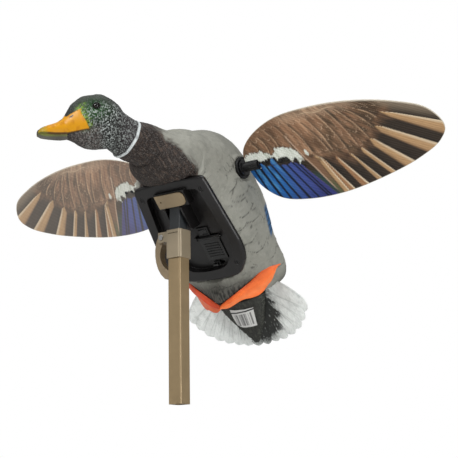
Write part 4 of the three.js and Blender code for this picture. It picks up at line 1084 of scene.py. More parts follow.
# ------------------------------------------------------------------ wings
WING_OUTLINE = [
    (8, -6), (9.5, 18), (26, 36), (68, 54.5), (122, 59), (176, 54.5), (226, 42), (263, 24), (275, -1),
    (264, -17.5), (231, -34.5), (180, -49.5), (122, -60), (70, -60), (35, -51.5), (15, -31),
]
WING_ROOT = 63.6
WING_COLUMNS = 250
WING_ROWS = 116
BROWN = rgb(136, 101, 76)
LIGHT = rgb(184, 144, 112)
OLIVE = rgb(82, 66, 49)
DARK = rgb(62, 52, 43)
BLACK = rgb(16, 15, 17)
TONES = {"cream": rgb(196, 158, 115), "tan": rgb(172, 128, 90)}
SHEET_MIDDLE = 0.4
SHEET_HALF = 0.6
NOTCH_HALF = 7.3
NOTCH_END = 90.0
BAR_TOP = [
    (5, 5), (7, 7.3), (11, 12), (17, 14), (21, 15.2), (28, 13), (35, 14.8), (39, 11), (46, 7), (49, 6),
    (53, 9), (55, 15), (67, 14.4), (72, 11), (78, 11), (82.4, 5.2), (85.7, -1.6), (87, -6),
]
BAR_BOTTOM = [
    (5, 4), (8, 4.7), (15, 6), (23, 6), (29, 3.9), (33, 4.6), (37, 6), (43, 7), (50, 6), (52, -0.3),
    (55, 2.6), (62, 4.3), (69, 0.1), (71, -5.5), (74, -1.0), (78, 0.1), (80.7, -10), (84, -5), (87, -6.2),
]
BLUE_TOP = [
    (5, -4), (24, -5), (27, 1), (31, -3), (38, -5), (44, 4), (47, 4), (50, -5), (56, -7.5), (66, -8),
    (69, -5.5), (74, -8), (79, -10), (84, -15), (90, -20),
]
BLUE_EDGE = [(80.7, -8), (84, -16.7), (97.5, -38), (110.8, -59.5), (113.5, -66)]
BLUE_BARS = [
    ((15.1, -8), (18.5, -30), 1.9), ((24, -7), (34, -50), 2.6), ((32.5, -3), (46.2, -54), 2.2),
    ((40.5, -4), (59.5, -60), 2.2), ((51.5, -5), (73, -62), 2.4), ((61.5, -7), (86, -64), 1.7),
    ((70.5, -7), (99, -62), 1.6), ((78, -12), (104, -64), 1.3),
]
QUILL = [(77, 29), (79, 22.8), (85.5, 6), (91.4, -7.5), (97, -18.4), (105.9, -38.9), (111, -50), (114, -57)]
STRIPES = [
    ([(102, -2.6), (105.9, -14.4), (109.8, -29), (118.7, -57), (120.5, -66)],
     [(102.3, -2.6), (110.8, -8.5), (117.7, -29), (127.5, -57.5), (130, -66)], "cream", 0.0),
    ([(110.6, -8.5), (117.7, -29), (127.5, -57.5), (130, -66)],
     [(110.8, -8.5), (114.2, -12.9), (136.3, -57.5), (140.5, -66)], "tan", 1.0),
    ([(129, -12), (130.4, -19.3), (146.1, -55.6), (150.5, -66)],
     [(130.5, -11), (132.9, -13.9), (156.4, -53.6), (163.7, -66)], "tan", 1.0),
    ([(148.5, -10.5), (149.5, -13), (168.6, -51.7), (175.7, -66)],
     [(148.7, -10.5), (152, -12.5), (175.5, -49.7), (185.8, -66)], "cream", 0.6),
    ([(165.7, -6.6), (166.2, -13.4), (189.2, -46.8), (202.4, -66)],
     [(165.9, -6.4), (168.6, -7.6), (196, -45.3), (211, -66)], "cream", 0.8),
    ([(180.9, 2.3), (181.9, -7.6), (208.8, -41.9), (227.6, -66)],
     [(181.1, 2.5), (186.3, 1.3), (223.6, -36), (253.6, -66)], "cream", 0.3),
    ([(193.2, 17), (197, 7.2), (241, -28.6), (287, -66)],
     [(193.4, 17.2), (204, 13.5), (260, -21.3), (331, -66)], "cream", 0.3),
    ([(206, 33), (216, 23), (266, -9.5), (353, -66)],
     [(206.3, 33.2), (225, 27), (275, 5), (436, -66)], "cream", 0.3),
]
START_LINE = [
    (90, 0), (101, -3), (128, -8), (150, -9), (166, -6), (181, 3), (193, 17), (206, 33), (221, 38), (280, 30),
]
FEATHER_LEAN = [
    (0, 0.2), (22, 0.24), (39, 0.34), (58, 0.42), (88, 0.44), (115, 0.48), (140, 0.58), (162, 0.67),
    (184, 0.85), (216, 1.36), (266, 1.83),
]
COVERT_LINES = [
    ((103, 42), (126, -6)), ((112, 46), (130, -3)), ((127, 50), (149, -8)), ((140, 52), (164, -4)),
    ((153, 50), (182, 1)), ((85, 44), (103, -2)), ((67, 46), (79, 12)), ((52, 42), (62, 14)),
    ((38, 36), (46, 12)), ((168, 44), (196, 8)), ((182, 42), (205, 20)), ((26, 28), (32, 14)),
]
CREASE = [(24, -4.6), (60, -5.6), (100, -4.0), (128, -2.6), (155, -3.4), (175, -6)]


def line_gap(u, v, a, b):
    """Signed distance from a line, and how far along it (0 to 1) each point lies."""
    a, b = np.asarray(a, float), np.asarray(b, float)
    d = b - a
    length = np.linalg.norm(d)
    d = d / length
    along = ((u - a[0]) * d[0] + (v - a[1]) * d[1]) / length
    return (u - a[0]) * -d[1] + (v - a[1]) * d[0], along


def over(table, u):
    """The chord of a line that runs along the wing, at each span."""
    t = np.array(table, float)
    return np.interp(u, t[:, 0], t[:, 1])


def between(path, v):
    """The span of a line that runs down the wing, at each chord."""
    table = np.array(path, float)[::-1]
    return np.interp(v, table[:, 1], table[:, 0])


class Print:
    """Places on a wing (span u, chord v) with the noises that its printed feathers share."""

    def __init__(self, u, v):
        lean = np.array(FEATHER_LEAN, float)
        q = u.copy()
        for _ in range(8):
            q = 0.5 * q + 0.5 * (u + v * np.interp(q, lean[:, 0], lean[:, 1]))
        self.u, self.v, self.q = u, v, q
        self.streak = self.strands(0.09, 1.5, 3, 8.0)
        self.broad = self.strands(0.22, 7.0, 3, 3.0)
        self.ragged = self.strands(0.3, 2.2, 3, 2.0)
        self.soft = fractal(np.stack([u, v, np.zeros_like(u)], -1), 24.0, 3, 5.0)
        self.above = v - over(START_LINE, u)
        self.past_quill = u - between(QUILL, v)

    def strands(self, stretch, size, octaves, seed):
        """Noise drawn out along the feathers, which lean more toward the wing's tip."""
        return fractal(np.stack([self.q, self.v * stretch, 0 * self.u], -1), size, octaves, seed)


def wing_ground(f):
    """Brown ground with olive shade, streaks and dusk."""
    u, v, broad, streak = f.u, f.v, f.broad, f.streak
    paint = mix(BROWN, LIGHT, np.clip(0.45 + 0.9 * broad, 0, 1) * smooth(60, 95, u) * smooth(190, 150, u))
    paint = mix(paint, rgb(112, 88, 68), np.clip(0.55 + 0.8 * broad, 0, 1) * smooth(85, 45, u))
    shade = smooth(112, 132, u - 0.3 * v) * smooth(226, 196, u) * smooth(-0.25, 0.35, broad + 0.4 * f.soft)
    paint = mix(paint, OLIVE * 0.85, 0.9 * shade)
    paint = mix(paint, rgb(200, 178, 152), 0.4 * smooth(40, 54, v) * smooth(60, 90, u) * smooth(196, 172, u))
    paint = mix(paint, OLIVE * 0.8, 0.8 * smooth(182, 205, u + 0.3 * v) * smooth(-6, 8, f.above))
    paint = mix(paint, OLIVE, 0.45 * smooth(44, 60, v) * smooth(0.5, -0.4, broad))
    paint = mix(paint, DARK, 0.30 * smooth(0.0, 0.6, streak))
    paint = mix(paint, LIGHT, 0.25 * smooth(0.0, 0.6, -streak))
    paint = paint * (1 + 0.45 * f.strands(0.14, 3.6, 2, 17.0))[..., None]
    dusk = np.exp(-(((u - 122) / 30) ** 2 + ((v - 6) / 22) ** 2))
    return mix(paint, OLIVE * 0.75, 0.55 * dusk * smooth(0.6, -0.4, broad))


def wing_coverts(f, paint):
    """Small overlapping feathers, then long ones with a pale edge and its shadow, and a row of tips."""
    u, v = f.u, f.v
    depth, tip = shingles(60 - v, f.q, 15.0, 11.0, 1.0, 33, 2.2)
    worn = 0.7 + 0.6 * f.soft
    scale = smooth(-4, 4, f.above) * worn
    paint = mix(paint, DARK, 0.55 * scale * smooth(0.62, 0.28, depth))
    paint = mix(paint, rgb(214, 184, 154), 0.55 * scale * smooth(1.5, 0.4, tip))
    for a, b in COVERT_LINES:
        gap, along = line_gap(u, v, a, b)
        bow = gap - 2.6 * np.sin(np.clip(along, 0, 1) * math.pi) + 0.5 * f.ragged
        on = smooth(-0.03, 0.08, along) * smooth(1.04, 0.9, along)
        paint = mix(paint, rgb(206, 172, 138), 0.7 * on * smooth(1.4, 0.2, np.abs(bow)) * worn)
        paint = mix(paint, DARK, 0.7 * on * smooth(6.5, 0.8, bow) * smooth(0.4, 1.0, bow))
    tips = smooth(1.2, 0.3, np.abs(v - 51.5 - 1.4 * np.sin(u / 5.5) + 0.0012 * (u - 130) ** 2))
    return mix(paint, rgb(206, 180, 150), 0.55 * tips * smooth(104, 112, u) * smooth(158, 150, u))


def wing_vanes(f, paint):
    """The trailing half's dark vanes, the strip beside the quill and the tip; also where the vanes lie."""
    u, v, broad = f.u, f.v, f.broad
    below = smooth(2.5, -3.5, f.above + 1.5 * broad) * smooth(-0.5, 0.5, f.past_quill)
    depth = np.clip(-f.above / 26, 0, 1)
    vane = mix(mix(BROWN, OLIVE, 0.4), DARK * 0.8, np.clip(depth * 1.3 + 0.5 * broad + 0.1, 0, 1))
    vane = mix(vane, BLACK, 0.4 * smooth(-0.1, 0.5, f.streak))
    paint = mix(paint, vane, below)
    before_stripes = smooth(0.5, -0.5, u - between(STRIPES[0][0], v))
    strip = smooth(0.3, 1.2, f.past_quill) * before_stripes * smooth(0, -6, v)
    paint = mix(paint, mix(rgb(132, 100, 76), rgb(96, 100, 70), smooth(-30, -50, v)), strip * 0.9)
    outer = smooth(-0.5, 0.8, u - between(STRIPES[-1][1], v)) * smooth(214, 226, u)
    paint = mix(paint, mix(DARK, rgb(86, 78, 66), 0.5 + 0.5 * broad), outer)
    tip = smooth(39, 50, v + 0.42 * (u - 200)) * smooth(200, 214, u)
    return mix(paint, rgb(150, 134, 114), 0.6 * tip), below


def wing_stripe(f, paint, below, left, right, tone, pale):
    """One pale wedge between two lines, with a shadow beyond it and a dark hook at its root."""
    u, v = f.u, f.v
    a, b = between(left, v), between(right, v)
    start = max(left[0][1], right[0][1])
    soft_side = 0.5 + 0.22 * np.maximum(b - a, 0) * (1 - pale)
    on = np.clip((u - a) / soft_side, 0, 1) * smooth(0.5, -0.5, u - b) * smooth(0.2, -0.8, v - start)
    share = np.clip((u - a) / np.maximum(b - a, 0.5), 0, 1)
    shadow = smooth(9, 0, u - b) * (u > b) * smooth(0, -8, v - start) * below
    paint = mix(paint, BLACK, 0.55 * shadow)
    fill = mix(TONES[tone], TONES[tone] * 0.74, np.clip(0.25 + 0.8 * f.streak + 0.4 * f.broad, 0, 1))
    fill = mix(fill, rgb(240, 220, 190), pale * smooth(0.66, 0.88, share))
    fill = mix(fill, rgb(243, 226, 196), (1 - pale) * 0.85 * smooth(0.66, 0.96, share))
    fill = mix(fill, BROWN, 0.55 * smooth(0.40, 0.0, share) * smooth(0, 12, start - v))
    paint = mix(paint, fill, on * 0.96)
    hook = np.exp(-(((u - left[0][0] + 3.0) / 3.0) ** 2 + ((v - start + 2.0) / 3.4) ** 2))
    return mix(paint, BLACK, 0.55 * hook * (1 - on))


def speculum(f, paint, edge, top):
    """Blue with black bars, violet toward the tip, and an olive strip beyond its edge."""
    u, v, broad = f.u, f.v, f.broad
    blue = mix(rgb(36, 104, 176), rgb(64, 84, 156), smooth(34, 66, u + 0.2 * v))
    blue = mix(blue, rgb(60, 64, 128), smooth(66, 92, u + 0.15 * v))
    glow = smooth(-0.1, 0.45, broad) * smooth(70, 36, u) * smooth(-54, -34, v)
    blue = mix(blue, rgb(84, 156, 208), 0.75 * glow)
    blue = mix(blue, rgb(34, 48, 110), 0.45 * smooth(-38, -60, v))
    blue = mix(blue, rgb(20, 40, 84), 0.35 * smooth(0.1, 0.6, f.streak))
    bars = np.zeros_like(u)
    for a, b, width in BLUE_BARS:
        gap, _ = line_gap(u, v, a, b)
        reach = width * 0.62
        bars = np.maximum(bars, smooth(reach + 1.0, reach - 0.5, np.abs(gap + 0.3 * f.ragged)))
    blue = mix(blue, rgb(8, 20, 34), bars)
    before_quill = smooth(0.5, -0.5, f.past_quill - 0.5 * smooth(-50, -60, v))
    beyond = smooth(-0.4, 0.6, u - edge) * before_quill * smooth(-4, -9, v) * smooth(80, 83, u)
    paint = mix(paint, mix(rgb(54, 44, 32), rgb(46, 66, 62), smooth(-18, -34, v)), beyond)
    return mix(paint, blue, smooth(0.6, -0.6, u - edge) * smooth(0.8, -0.8, v - top + 0.8 * f.ragged))


def wing_quill(f, paint):
    """The pale quill that parts the two halves, with its shadow."""
    gap, v = f.past_quill, f.v
    line = smooth(1.3, 0.4, np.abs(gap)) * smooth(31, 28, v) * smooth(-60, -44, v)
    shadow = smooth(3.2, 1.0, np.abs(gap + 1.6)) * smooth(31, 28, v) * smooth(-8, 0, v)
    paint = mix(paint, DARK, 0.6 * shadow)
    return mix(paint, rgb(208, 176, 150), 0.85 * line)


def wing_bars(f, paint, edge, top):
    """The black band over the blue, and the ragged white bar in it."""
    u, v, ragged = f.u, f.v, f.ragged
    spiky = f.strands(0.2, 1.3, 3, 14.0)
    high = over(BAR_TOP, u) + 1.6 + 2.2 * ragged + 2.2 * spiky
    low = over(BAR_BOTTOM, u) - 1.0 + 1.6 * ragged + 2.0 * spiky
    band = smooth(1.0, -0.4, v - high) * smooth(-0.8, 0.6, v - top + 0.8 * ragged)
    band = band * smooth(0.5, -1.5, u - edge - 4) * smooth(0.5, -1.5, f.past_quill)
    paint = mix(paint, mix(BLACK, rgb(44, 42, 30), smooth(0.0, 0.5, ragged)), band)
    bar = smooth(-0.5, 0.7, v - low) * smooth(0.7, -0.5, v - high) * smooth(88, 86, u)
    spot = np.exp(-(((u - 94.6) / 2.4) ** 2 + ((v - 2 + 0.8 * (u - 94.6)) / 4.6) ** 2))
    bar = np.maximum(bar, spot > 0.42)
    paint = mix(paint, mix(rgb(236, 240, 232), rgb(180, 188, 172), np.clip(0.3 + 0.9 * f.streak, 0, 1)), bar)
    fringe = smooth(3.5, 0.5, v - high) * smooth(-0.4, 0.8, v - high) * smooth(90, 80, u)
    return mix(paint, rgb(74, 56, 42), 0.6 * fringe)


def wing_pattern(u, v):
    """The printed drake wing at points of span and chord, in linear colour, with a painted shadow along the
    embossed crease.
    """
    f = Print(u, v)
    paint = wing_coverts(f, wing_ground(f))
    paint, below = wing_vanes(f, paint)
    for stripe in STRIPES:
        paint = wing_stripe(f, paint, below, *stripe)
    edge = between(BLUE_EDGE, v)
    top = over(BLUE_TOP, u)
    paint = speculum(f, paint, edge, top)
    paint = wing_quill(f, paint)
    paint = wing_bars(f, paint, edge, top)
    # painted shadow along the embossed crease
    groove = np.exp(-(((v - over(CREASE, u)) / 0.9) ** 2)) * smooth(24, 40, u) * smooth(175, 150, u)
    return mix(paint, DARK, 0.5 * groove)


def ribbed(u, v):
    """Embossed relief on the wing: fine ribs along the span and the crease line, in millimetres."""
    phase = (v / 2.8) % 1.0
    rib = smooth(0.16, 0.05, np.abs(phase - 0.5)) * 0.10
    gap = v - over(CREASE, u)
    crease = np.exp(-((gap / 1.4) ** 2)) * smooth(14, 30, u) * smooth(200, 180, u)
    return rib - 0.22 * crease


def sheet_faces(keep):
    """Faces of both sides of a sheet and of its rim, for a grid with some of its cells left out."""
    columns, rows = keep.shape[0] + 1, keep.shape[1] + 1
    k = np.arange(columns * rows).reshape(columns, rows)
    a, b, c, d = k[:-1, :-1], k[1:, :-1], k[1:, 1:], k[:-1, 1:]
    quads = np.stack([a[keep], b[keep], c[keep], d[keep]], -1)
    far = quads + columns * rows
    edges = [(p, q) for f in quads.tolist() for p, q in zip(f, f[1:] + f[:1])]
    known = set(edges)
    rim = [[q, p, p + columns * rows, q + columns * rows] for p, q in edges if (q, p) not in known]
    return quads.tolist() + far[:, ::-1].tolist() + rim


def wing(name, side, turn=0.0, painted_sheen=0.0):
    """One printed wing, cut round the hub's sleeve, with its small turn on the stem and a painted sheen that
    pales its print.
    """
    path = closed_curve(WING_OUTLINE, 700)
    u_low, u_high = path[:, 0].min(), path[:, 0].max()
    u_line = np.linspace(u_low + 0.02, u_high - 0.02, WING_COLUMNS)
    top, bottom = edge_at(path, u_line)
    u = np.repeat(u_line[:, None], WING_ROWS, 1)
    w = 0.5 - 0.5 * np.cos(math.pi * (0.12 + 0.76 * np.linspace(0, 1, WING_ROWS)[None]))
    w = (w - w.min()) / (w.max() - w.min())
    v = bottom[:, None] * (1 - w) + top[:, None] * w
    notch = (np.abs(v) < NOTCH_HALF) & (u + WING_ROOT < NOTCH_END)
    keep = ~(notch[:-1, :-1] & notch[1:, :-1] & notch[1:, 1:] & notch[:-1, 1:])
    sheets = []
    for face in (1, -1):
        z = SHEET_MIDDLE + face * (SHEET_HALF - face * ribbed(u, v) * 0.9)
        sheets.append(np.stack([v + turn * u, side * (u + WING_ROOT), z], -1).reshape(-1, 3))
    used, faces = only_used(sheet_faces(keep))
    ends = np.minimum(u - u_low, u_high - u) * 0.8
    edge = np.minimum.reduce([v - bottom[:, None], top[:, None] - v, ends])
    paint = wing_pattern(u, v)
    paint = mix(paint, rgb(205, 200, 186), smooth(0.75, 0.25, edge) * 0.85)
    paint = mix(paint, rgb(214, 204, 186), smooth(2.2, 0.9, top[:, None] - v) * smooth(80, 130, u) * 0.6)
    # painted sheen: the whole print paled evenly toward off-white
    paint = mix(paint, rgb(232, 222, 212), np.full(u.shape, painted_sheen))
    colours = np.concatenate([paint.reshape(-1, 3)] * 2)[used]
    made = place(WING, np.concatenate(sheets))[used]
    make(f"wing_skin_{name}", made, shell(made, faces), MATERIALS["wing_print"], f"wing_{name}",
         [f"wing_sheet_{name}"], colours)


def closed_curve(points, count):
    """Even points round a closed centripetal curve."""
    p = np.asarray(points, float)
    p = np.c_[p, np.zeros(len(p))]
    ring = np.vstack([p[-2:], p, p[:3]])
    n = len(ring) - 1
    t = np.linspace(2 / n, (2 + len(p)) / n, 4000)
    path = spline(ring, t)[:, :2]
    length = distance_along(path)
    wanted = np.linspace(0, length[-1], count, endpoint=False)
    return np.stack([np.interp(wanted, length, path[:, a]) for a in range(2)], 1)


def edge_at(path, u_line):
    """The highest and lowest chord of an outline at each span."""
    top = np.full(len(u_line), -1e9)
    bottom = np.full(len(u_line), 1e9)
    for p, q in zip(path, np.roll(path, -1, axis=0)):
        low, high = sorted((p[0], q[0]))
        hit = (u_line >= low - 1e-9) & (u_line <= high + 1e-9)
        share = (u_line[hit] - p[0]) / (q[0] - p[0] + 1e-12)
        v = p[1] + np.clip(share, 0, 1) * (q[1] - p[1])
        top[hit] = np.maximum(top[hit], v)
        bottom[hit] = np.minimum(bottom[hit], v)
    return top, bottom


# ------------------------------------------------------------------ tail
TAIL_ROOT = (-134.0, 0.0, -31.0)
TAIL_TILT = 0.16
TAIL_SPREAD = math.radians(60)
TAIL_LENGTH = 100.5
TAIL_HALF = 111.0
FEATHERS = 15
VANE_ROWS = 56
VANE_COLUMNS = 21
COVERT_SIDES = 160
TAIL_WHITE = rgb(234, 238, 235)
TAIL_GREY = rgb(158, 164, 159)
TAIL_DARK = rgb(30, 33, 29)
BLACK_REACH = (
    [-60, -30, -14, -4, 12, 24, 36, 48, 60],
    [0.34, 0.40, 0.52, 0.93, 0.97, 0.86, 0.66, 0.50, 0.42],
)
COVERTS = [
    (-227, 0, -46.6, 3, 1.5, 2.4, 2, 2),
    (-205, 0, -43, 18, 3, 10, 2, 2),
    (-180, 0, -39, 31, 4, 20, 2, 2),
    (-160, 0, -36, 38, 4, 26, 2, 2),
]


def tail_point(along, angle, drop):
    """A place on the fan: a share of its length, an angle from the middle, and a height off its plane."""
    x = -TAIL_LENGTH * along * np.cos(angle)
    y = TAIL_HALF * along * np.sin(angle)
    c, s = math.cos(TAIL_TILT), math.sin(TAIL_TILT)
    return np.stack([TAIL_ROOT[0] + x * c - drop * s, y, TAIL_ROOT[2] + x * s + drop * c], -1)


def vane(i, rng):
    """One rounded vane: its loops of points, its middle's angle, and each point's place along and across it."""
    step = 2 * TAIL_SPREAD / FEATHERS
    middle = -TAIL_SPREAD + (i + 0.5) * step
    rank = abs(i - (FEATHERS - 1) / 2) / ((FEATHERS - 1) / 2)
    shoulder = 0.05 if middle > 0 else 0.028
    reach = 1.0 - 0.012 * rng.random()
    reach = reach + shoulder * math.exp(-(((abs(math.degrees(middle)) - 36) / 15) ** 2))
    sway = 0.02 * (rng.random() - 0.5)
    half = step * (0.60 + 0.05 * rng.random())
    along = (0.10 + 0.90 * np.sin(np.linspace(0, math.pi / 2, VANE_ROWS)))[:, None]
    across = np.linspace(-1, 1, VANE_COLUMNS)[None]
    round_off = np.sqrt(np.clip(1 - np.clip((along - 0.90) / 0.10, 0, 1) ** 2.2, 0.0, 1))
    width = half * np.minimum(1.0 / np.maximum(along, 0.62), 0.4 + 2.0 * along) * np.maximum(round_off, 0.02)
    angle = middle + sway * along + across * width
    outermost = np.sign(middle) * rank**6
    angle = angle + 0.50 * outermost * (1 - along) * np.clip(across * np.sign(outermost + 1e-9), 0, 1)

    # each vane leans below its inner neighbour, and is cambered round a quill
    lean = -1.55 * rank * np.clip(along * 1.6, 0, 1)
    camber = 0.9 * (1 - across**2) * along
    quill = 0.5 * np.exp(-((across / 0.07) ** 2)) * smooth(1.0, 0.8, along)
    twist = -0.75 * across * outer_side(middle) * along
    barbs = 0.07 * np.sin(along * 190 + np.abs(across) * 9)
    under = lean - 0.5 - camber * 0.5 - quill + twist + barbs
    upper = lean + 0.45 - camber * 0.5 + twist + quill * 0.4
    bottom = tail_point(along * reach, angle, under)
    top = tail_point(along * reach, angle, upper)
    loop = np.concatenate([bottom, top[:, ::-1]], 1)
    across = np.broadcast_to(across, (VANE_ROWS, VANE_COLUMNS))
    return loop, middle, np.repeat(along, loop.shape[1], 1), np.concatenate([across, across[:, ::-1]], 1)


def outer_side(middle):
    """1 or -1 toward the fan's outer edge on a vane's side of it, and 0 on the middle vane."""
    return np.sign(middle) if abs(middle) > 1e-6 else 0.0


def vane_colours(loop, middle, along, across):
    """White, with painted shade along the rims, mostly the inner one where each vane lies under its neighbour,
    a grey quill and a ragged black root.
    """
    cloud = fractal(loop, 9.0, 3, 4.0)
    streak = fractal(loop * (0.25, 1.0, 1.0), 1.3, 2, 2.0)
    speck = fractal(loop, 1.7, 3, 12.0)
    worn = 0.35 * smooth(0.0, 0.7, streak) + 0.2 * smooth(0.1, 0.7, cloud)
    colour = mix(TAIL_WHITE, TAIL_GREY, worn)
    inward = -across * outer_side(middle)
    # painted shade along the rims, strong on the inner side that lies under the neighbouring vane
    rim = smooth(0.77, 0.90, np.abs(across) + 0.02 * streak) * np.where(inward >= 0, 1.0, 0.2)
    colour = mix(colour, TAIL_DARK, rim * smooth(1.0, 0.84, along))
    colour = mix(colour, TAIL_GREY, 0.5 * np.exp(-((across / 0.06) ** 2)) * smooth(0.98, 0.8, along))
    black = np.interp(math.degrees(middle), *BLACK_REACH)
    root = smooth(black + 0.12, black - 0.12, along + 0.06 * cloud + 0.04 * streak)
    ragged = smooth(0.55, -0.15, speck - 0.9 * (root - 0.35))
    return mix(colour, TAIL_DARK, np.clip(root * 1.15, 0, 1) * ragged)


def tail():
    """Fifteen rounded vanes, each outer one below its neighbour."""
    rng = np.random.default_rng(11)
    points, faces, paint = [], [], []
    start = 0
    for i in range(FEATHERS):
        loop, middle, along, across = vane(i, rng)
        flat = capped(loop)
        faces += [[v + start for v in f] for f in shell(flat, ring_faces(*loop.shape[:2]))]
        start += len(flat)
        points.append(flat)
        paint.append(capped_colours(vane_colours(loop, middle, along, across)))
    make("tail_vanes", place(BODY, np.vstack(points)), faces, MATERIALS["tail_feather"], "decoy",
         ["tail_fan"], np.vstack(paint))


def undertail():
    """The black coverts under the fan's root, flat where the label lies on them."""
    t = even_steps([row[:3] for row in COVERTS], 90)
    rings, girth = swept(COVERTS, t, COVERT_SIDES)
    n = normals(rings)
    x, y = rings[..., 0], rings[..., 1]
    part = share_round(COVERT_SIDES)[None]
    height, _ = shingles(-160 - x, part * girth[:, None], 8.0, 8.0, 0.9, 21)
    streak = fractal(rings * (0.22, 1.0, 1.0), 1.9, 3, 3.0)
    tuft = 0.5 * fractal(rings * (0.35, 1.0, 1.0), 2.4, 3, 1.0)
    label = np.maximum(np.abs(x + 182) - 19, np.abs(y - 5.5) - 22)
    under = (part**2 > 0.11) & (label < 2)
    rings = rings + n * np.where(under, -0.3, height + tuft - 0.2)[..., None]
    colour = mix(rgb(35, 36, 31), rgb(62, 63, 55), smooth(0.1, 0.6, streak) * 0.8)
    margin = smooth(0.34, 0.16, np.abs(np.abs(part) - 0.5))
    pale = (1 - margin) * smooth(-0.2, 0.35, fractal(rings, 1.8, 2, 5.0))
    colour = mix(colour, rgb(104, 108, 99), 0.85 * pale)
    faces = shell(capped(rings), ring_faces(len(t), COVERT_SIDES))
    make("undertail_coverts", place(BODY, capped(rings)), faces, MATERIALS["undertail"], "decoy",
         (), capped_colours(colour))


# ------------------------------------------------------------------ feet
NEAR_FOOT = [
    (-126, 6), (-122, 15), (-119, 25), (-121, 29), (-127, 25), (-133, 17), (-138, 12), (-142, 9), (-145, 5),
]
FAR_FOOT = [
    (-121, 8), (-117, 18), (-116, 30), (-119, 37), (-125, 34), (-131, 25), (-137, 17), (-142, 10), (-145, 5),
]
FEET = {
    "left": (1, NEAR_FOOT, 0.0, rgb(255, 118, 44)),
    # the right foot's darker, redder orange is painted shade; both feet are the same orange
    "right": (-1, FAR_FOOT, 7.0, rgb(236, 84, 40)),
}
TOES = 5.5 * math.pi
HIDE_REAR = BODY_STATIONS[2]
HIDE_FRONT = BODY_STATIONS[3]


def hide_point(x, angle, offset, side):
    """A place on the body's rear skin, or off it: angle 0 on the flank, and a right angle at the keel."""
    stations = np.array(BODY_STATIONS + [NECK_END], float)
    along = np.clip((np.asarray(x, float) - HIDE_REAR[0]) / (HIDE_FRONT[0] - HIDE_REAR[0]), 0, 1)
    t = (2 + along) / (len(stations) - 1)
    size = spline(stations[:, 3:6], t)
    spine = spline(stations[:, :3], t)
    power = 2 / (HIDE_REAR[7] + (HIDE_FRONT[7] - HIDE_REAR[7]) * along)
    across = np.clip(np.cos(angle), 0, 1) ** power * (size[..., 0] + offset)
    down = np.clip(np.sin(angle), 0, 1) ** power * (size[..., 2] + offset)
    return np.stack([x, side * across, spine[..., 2] - down], -1)


def foot_rings(outline, droop, side):
    """A foot's loops of points, over its face and back against the body, and each point's share across."""
    share = np.linspace(0, 1, 110)[:, None]
    profile = np.linspace(0, 1, 30)[None]
    edge = spline(np.array([(x, width, 0.0) for x, width in outline], float), share[:, 0])
    front, width = edge[:, :1], edge[:, 1:2]
    web = 1.1 * np.sin(share * TOES + 0.6) * smooth(0.15, 0.4, share)
    x = front - (width + web) * profile
    swell = np.sin(math.pi * profile) ** 0.45
    toes = 0.55 * np.cos(share * TOES + 0.6) * smooth(0.2, 0.5, profile)
    fold = 0.8 * np.exp(-(((profile - 0.22 - 0.25 * share) / 0.10) ** 2))
    flare = droop * profile**1.3 * np.sin(math.pi * share) ** 0.7
    outer = 0.9 + 2.9 * swell + (toes + fold) * smooth(0, 0.06, share) * swell + flare
    angle = np.broadcast_to(np.radians(2 + 87 * share), x.shape)
    top = hide_point(x, angle, outer, side)
    inner = hide_point(x, angle, 0.3 + flare * smooth(0.1, 0.5, profile), side)
    tone = np.broadcast_to(profile, x.shape)
    return np.concatenate([top, inner[:, ::-1]], 1), np.concatenate([tone, tone[:, ::-1]], 1)


def feet():
    """Webbed feet folded back along the belly, one skin to each side, with painted shade along each foot's
    front edge next to the body and a painted highlight across its middle; the right foot's orange is painted in
    shade.
    """
    for name, (side, outline, droop, orange) in FEET.items():
        rings, tone = foot_rings(outline, droop, side)
        cloud = fractal(rings, 7.0, 3, 2.0)
        # painted shade along the foot's front edge, next to the body, with a random redder mottle
        edge_shade_and_mottle = 0.55 * smooth(0.3, 0.0, tone) + 0.22 * smooth(0.0, 0.6, cloud)
        paint = mix(orange, rgb(214, 74, 22), edge_shade_and_mottle)
        # a painted highlight across the middle of the foot
        paint = mix(paint, rgb(255, 150, 84), 0.4 * smooth(0.45, 0.7, tone) * smooth(1.0, 0.75, tone))
        points = place(BODY, capped(rings))
        make(f"foot_skin_{name}", points, shell(points, ring_faces(*tone.shape)), MATERIALS["foot_skin"],
             "decoy", [f"foot_{name}"], capped_colours(paint))


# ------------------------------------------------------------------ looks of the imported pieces
def label_paint():
    """A white label: a blank strip, a dark gap, and plain upright bars of uneven width, with no words."""
    g = Graph("label_bars")
    split = g.add("ShaderNodeSeparateXYZ")
    g.link(g.place, split.inputs[0])
    dot = g.add("ShaderNodeVectorMath", operation="DOT_PRODUCT")
    g.link(g.place, dot.inputs[0])
    dot.inputs[1].default_value = BODY[:3, 0]
    offset = float(np.dot(BODY[:3, 0], BODY[:3, 3]) * MM)
    x = g.math("SUBTRACT", dot.outputs["Value"], offset)
    y = g.math("SUBTRACT", split.outputs["Y"], g.math("MULTIPLY", g.math("ADD", x, 0.18), 0.25))
    cell = g.math("FLOOR", g.math("MULTIPLY", y, 1900.0), 0.0)
    pick = g.add("ShaderNodeTexWhiteNoise", noise_dimensions="1D")
    g.link(cell, pick.inputs["W"])
    bars = g.ramp(pick.outputs["Value"], 0.42, 0.46)
    inside = g.math("MULTIPLY", g.ramp(x, -0.1752, -0.1757), g.ramp(x, -0.1955, -0.1950))
    margin = g.math("MULTIPLY", g.ramp(y, -0.0084, -0.0080), g.ramp(y, 0.0185, 0.0180))
    shown = g.math("MULTIPLY", g.math("MULTIPLY", bars, inside), margin)
    gap = g.math("MULTIPLY", g.ramp(x, -0.1706, -0.1709), g.ramp(x, -0.1731, -0.1728))
    paper = g.blend(g.ramp(g.noise(300.0), 0.35, 0.65, 0.0, 0.3), [0.62, 0.62, 0.60], [0.50, 0.50, 0.49])
    base = g.blend(g.math("MULTIPLY", shown, 0.85), paper, [0.10, 0.10, 0.10])
    base = g.blend(gap, base, [0.015, 0.016, 0.014])
    return g.finish(base, 0.42, g.bump(g.noise(900.0), 0.00004, 0.4))


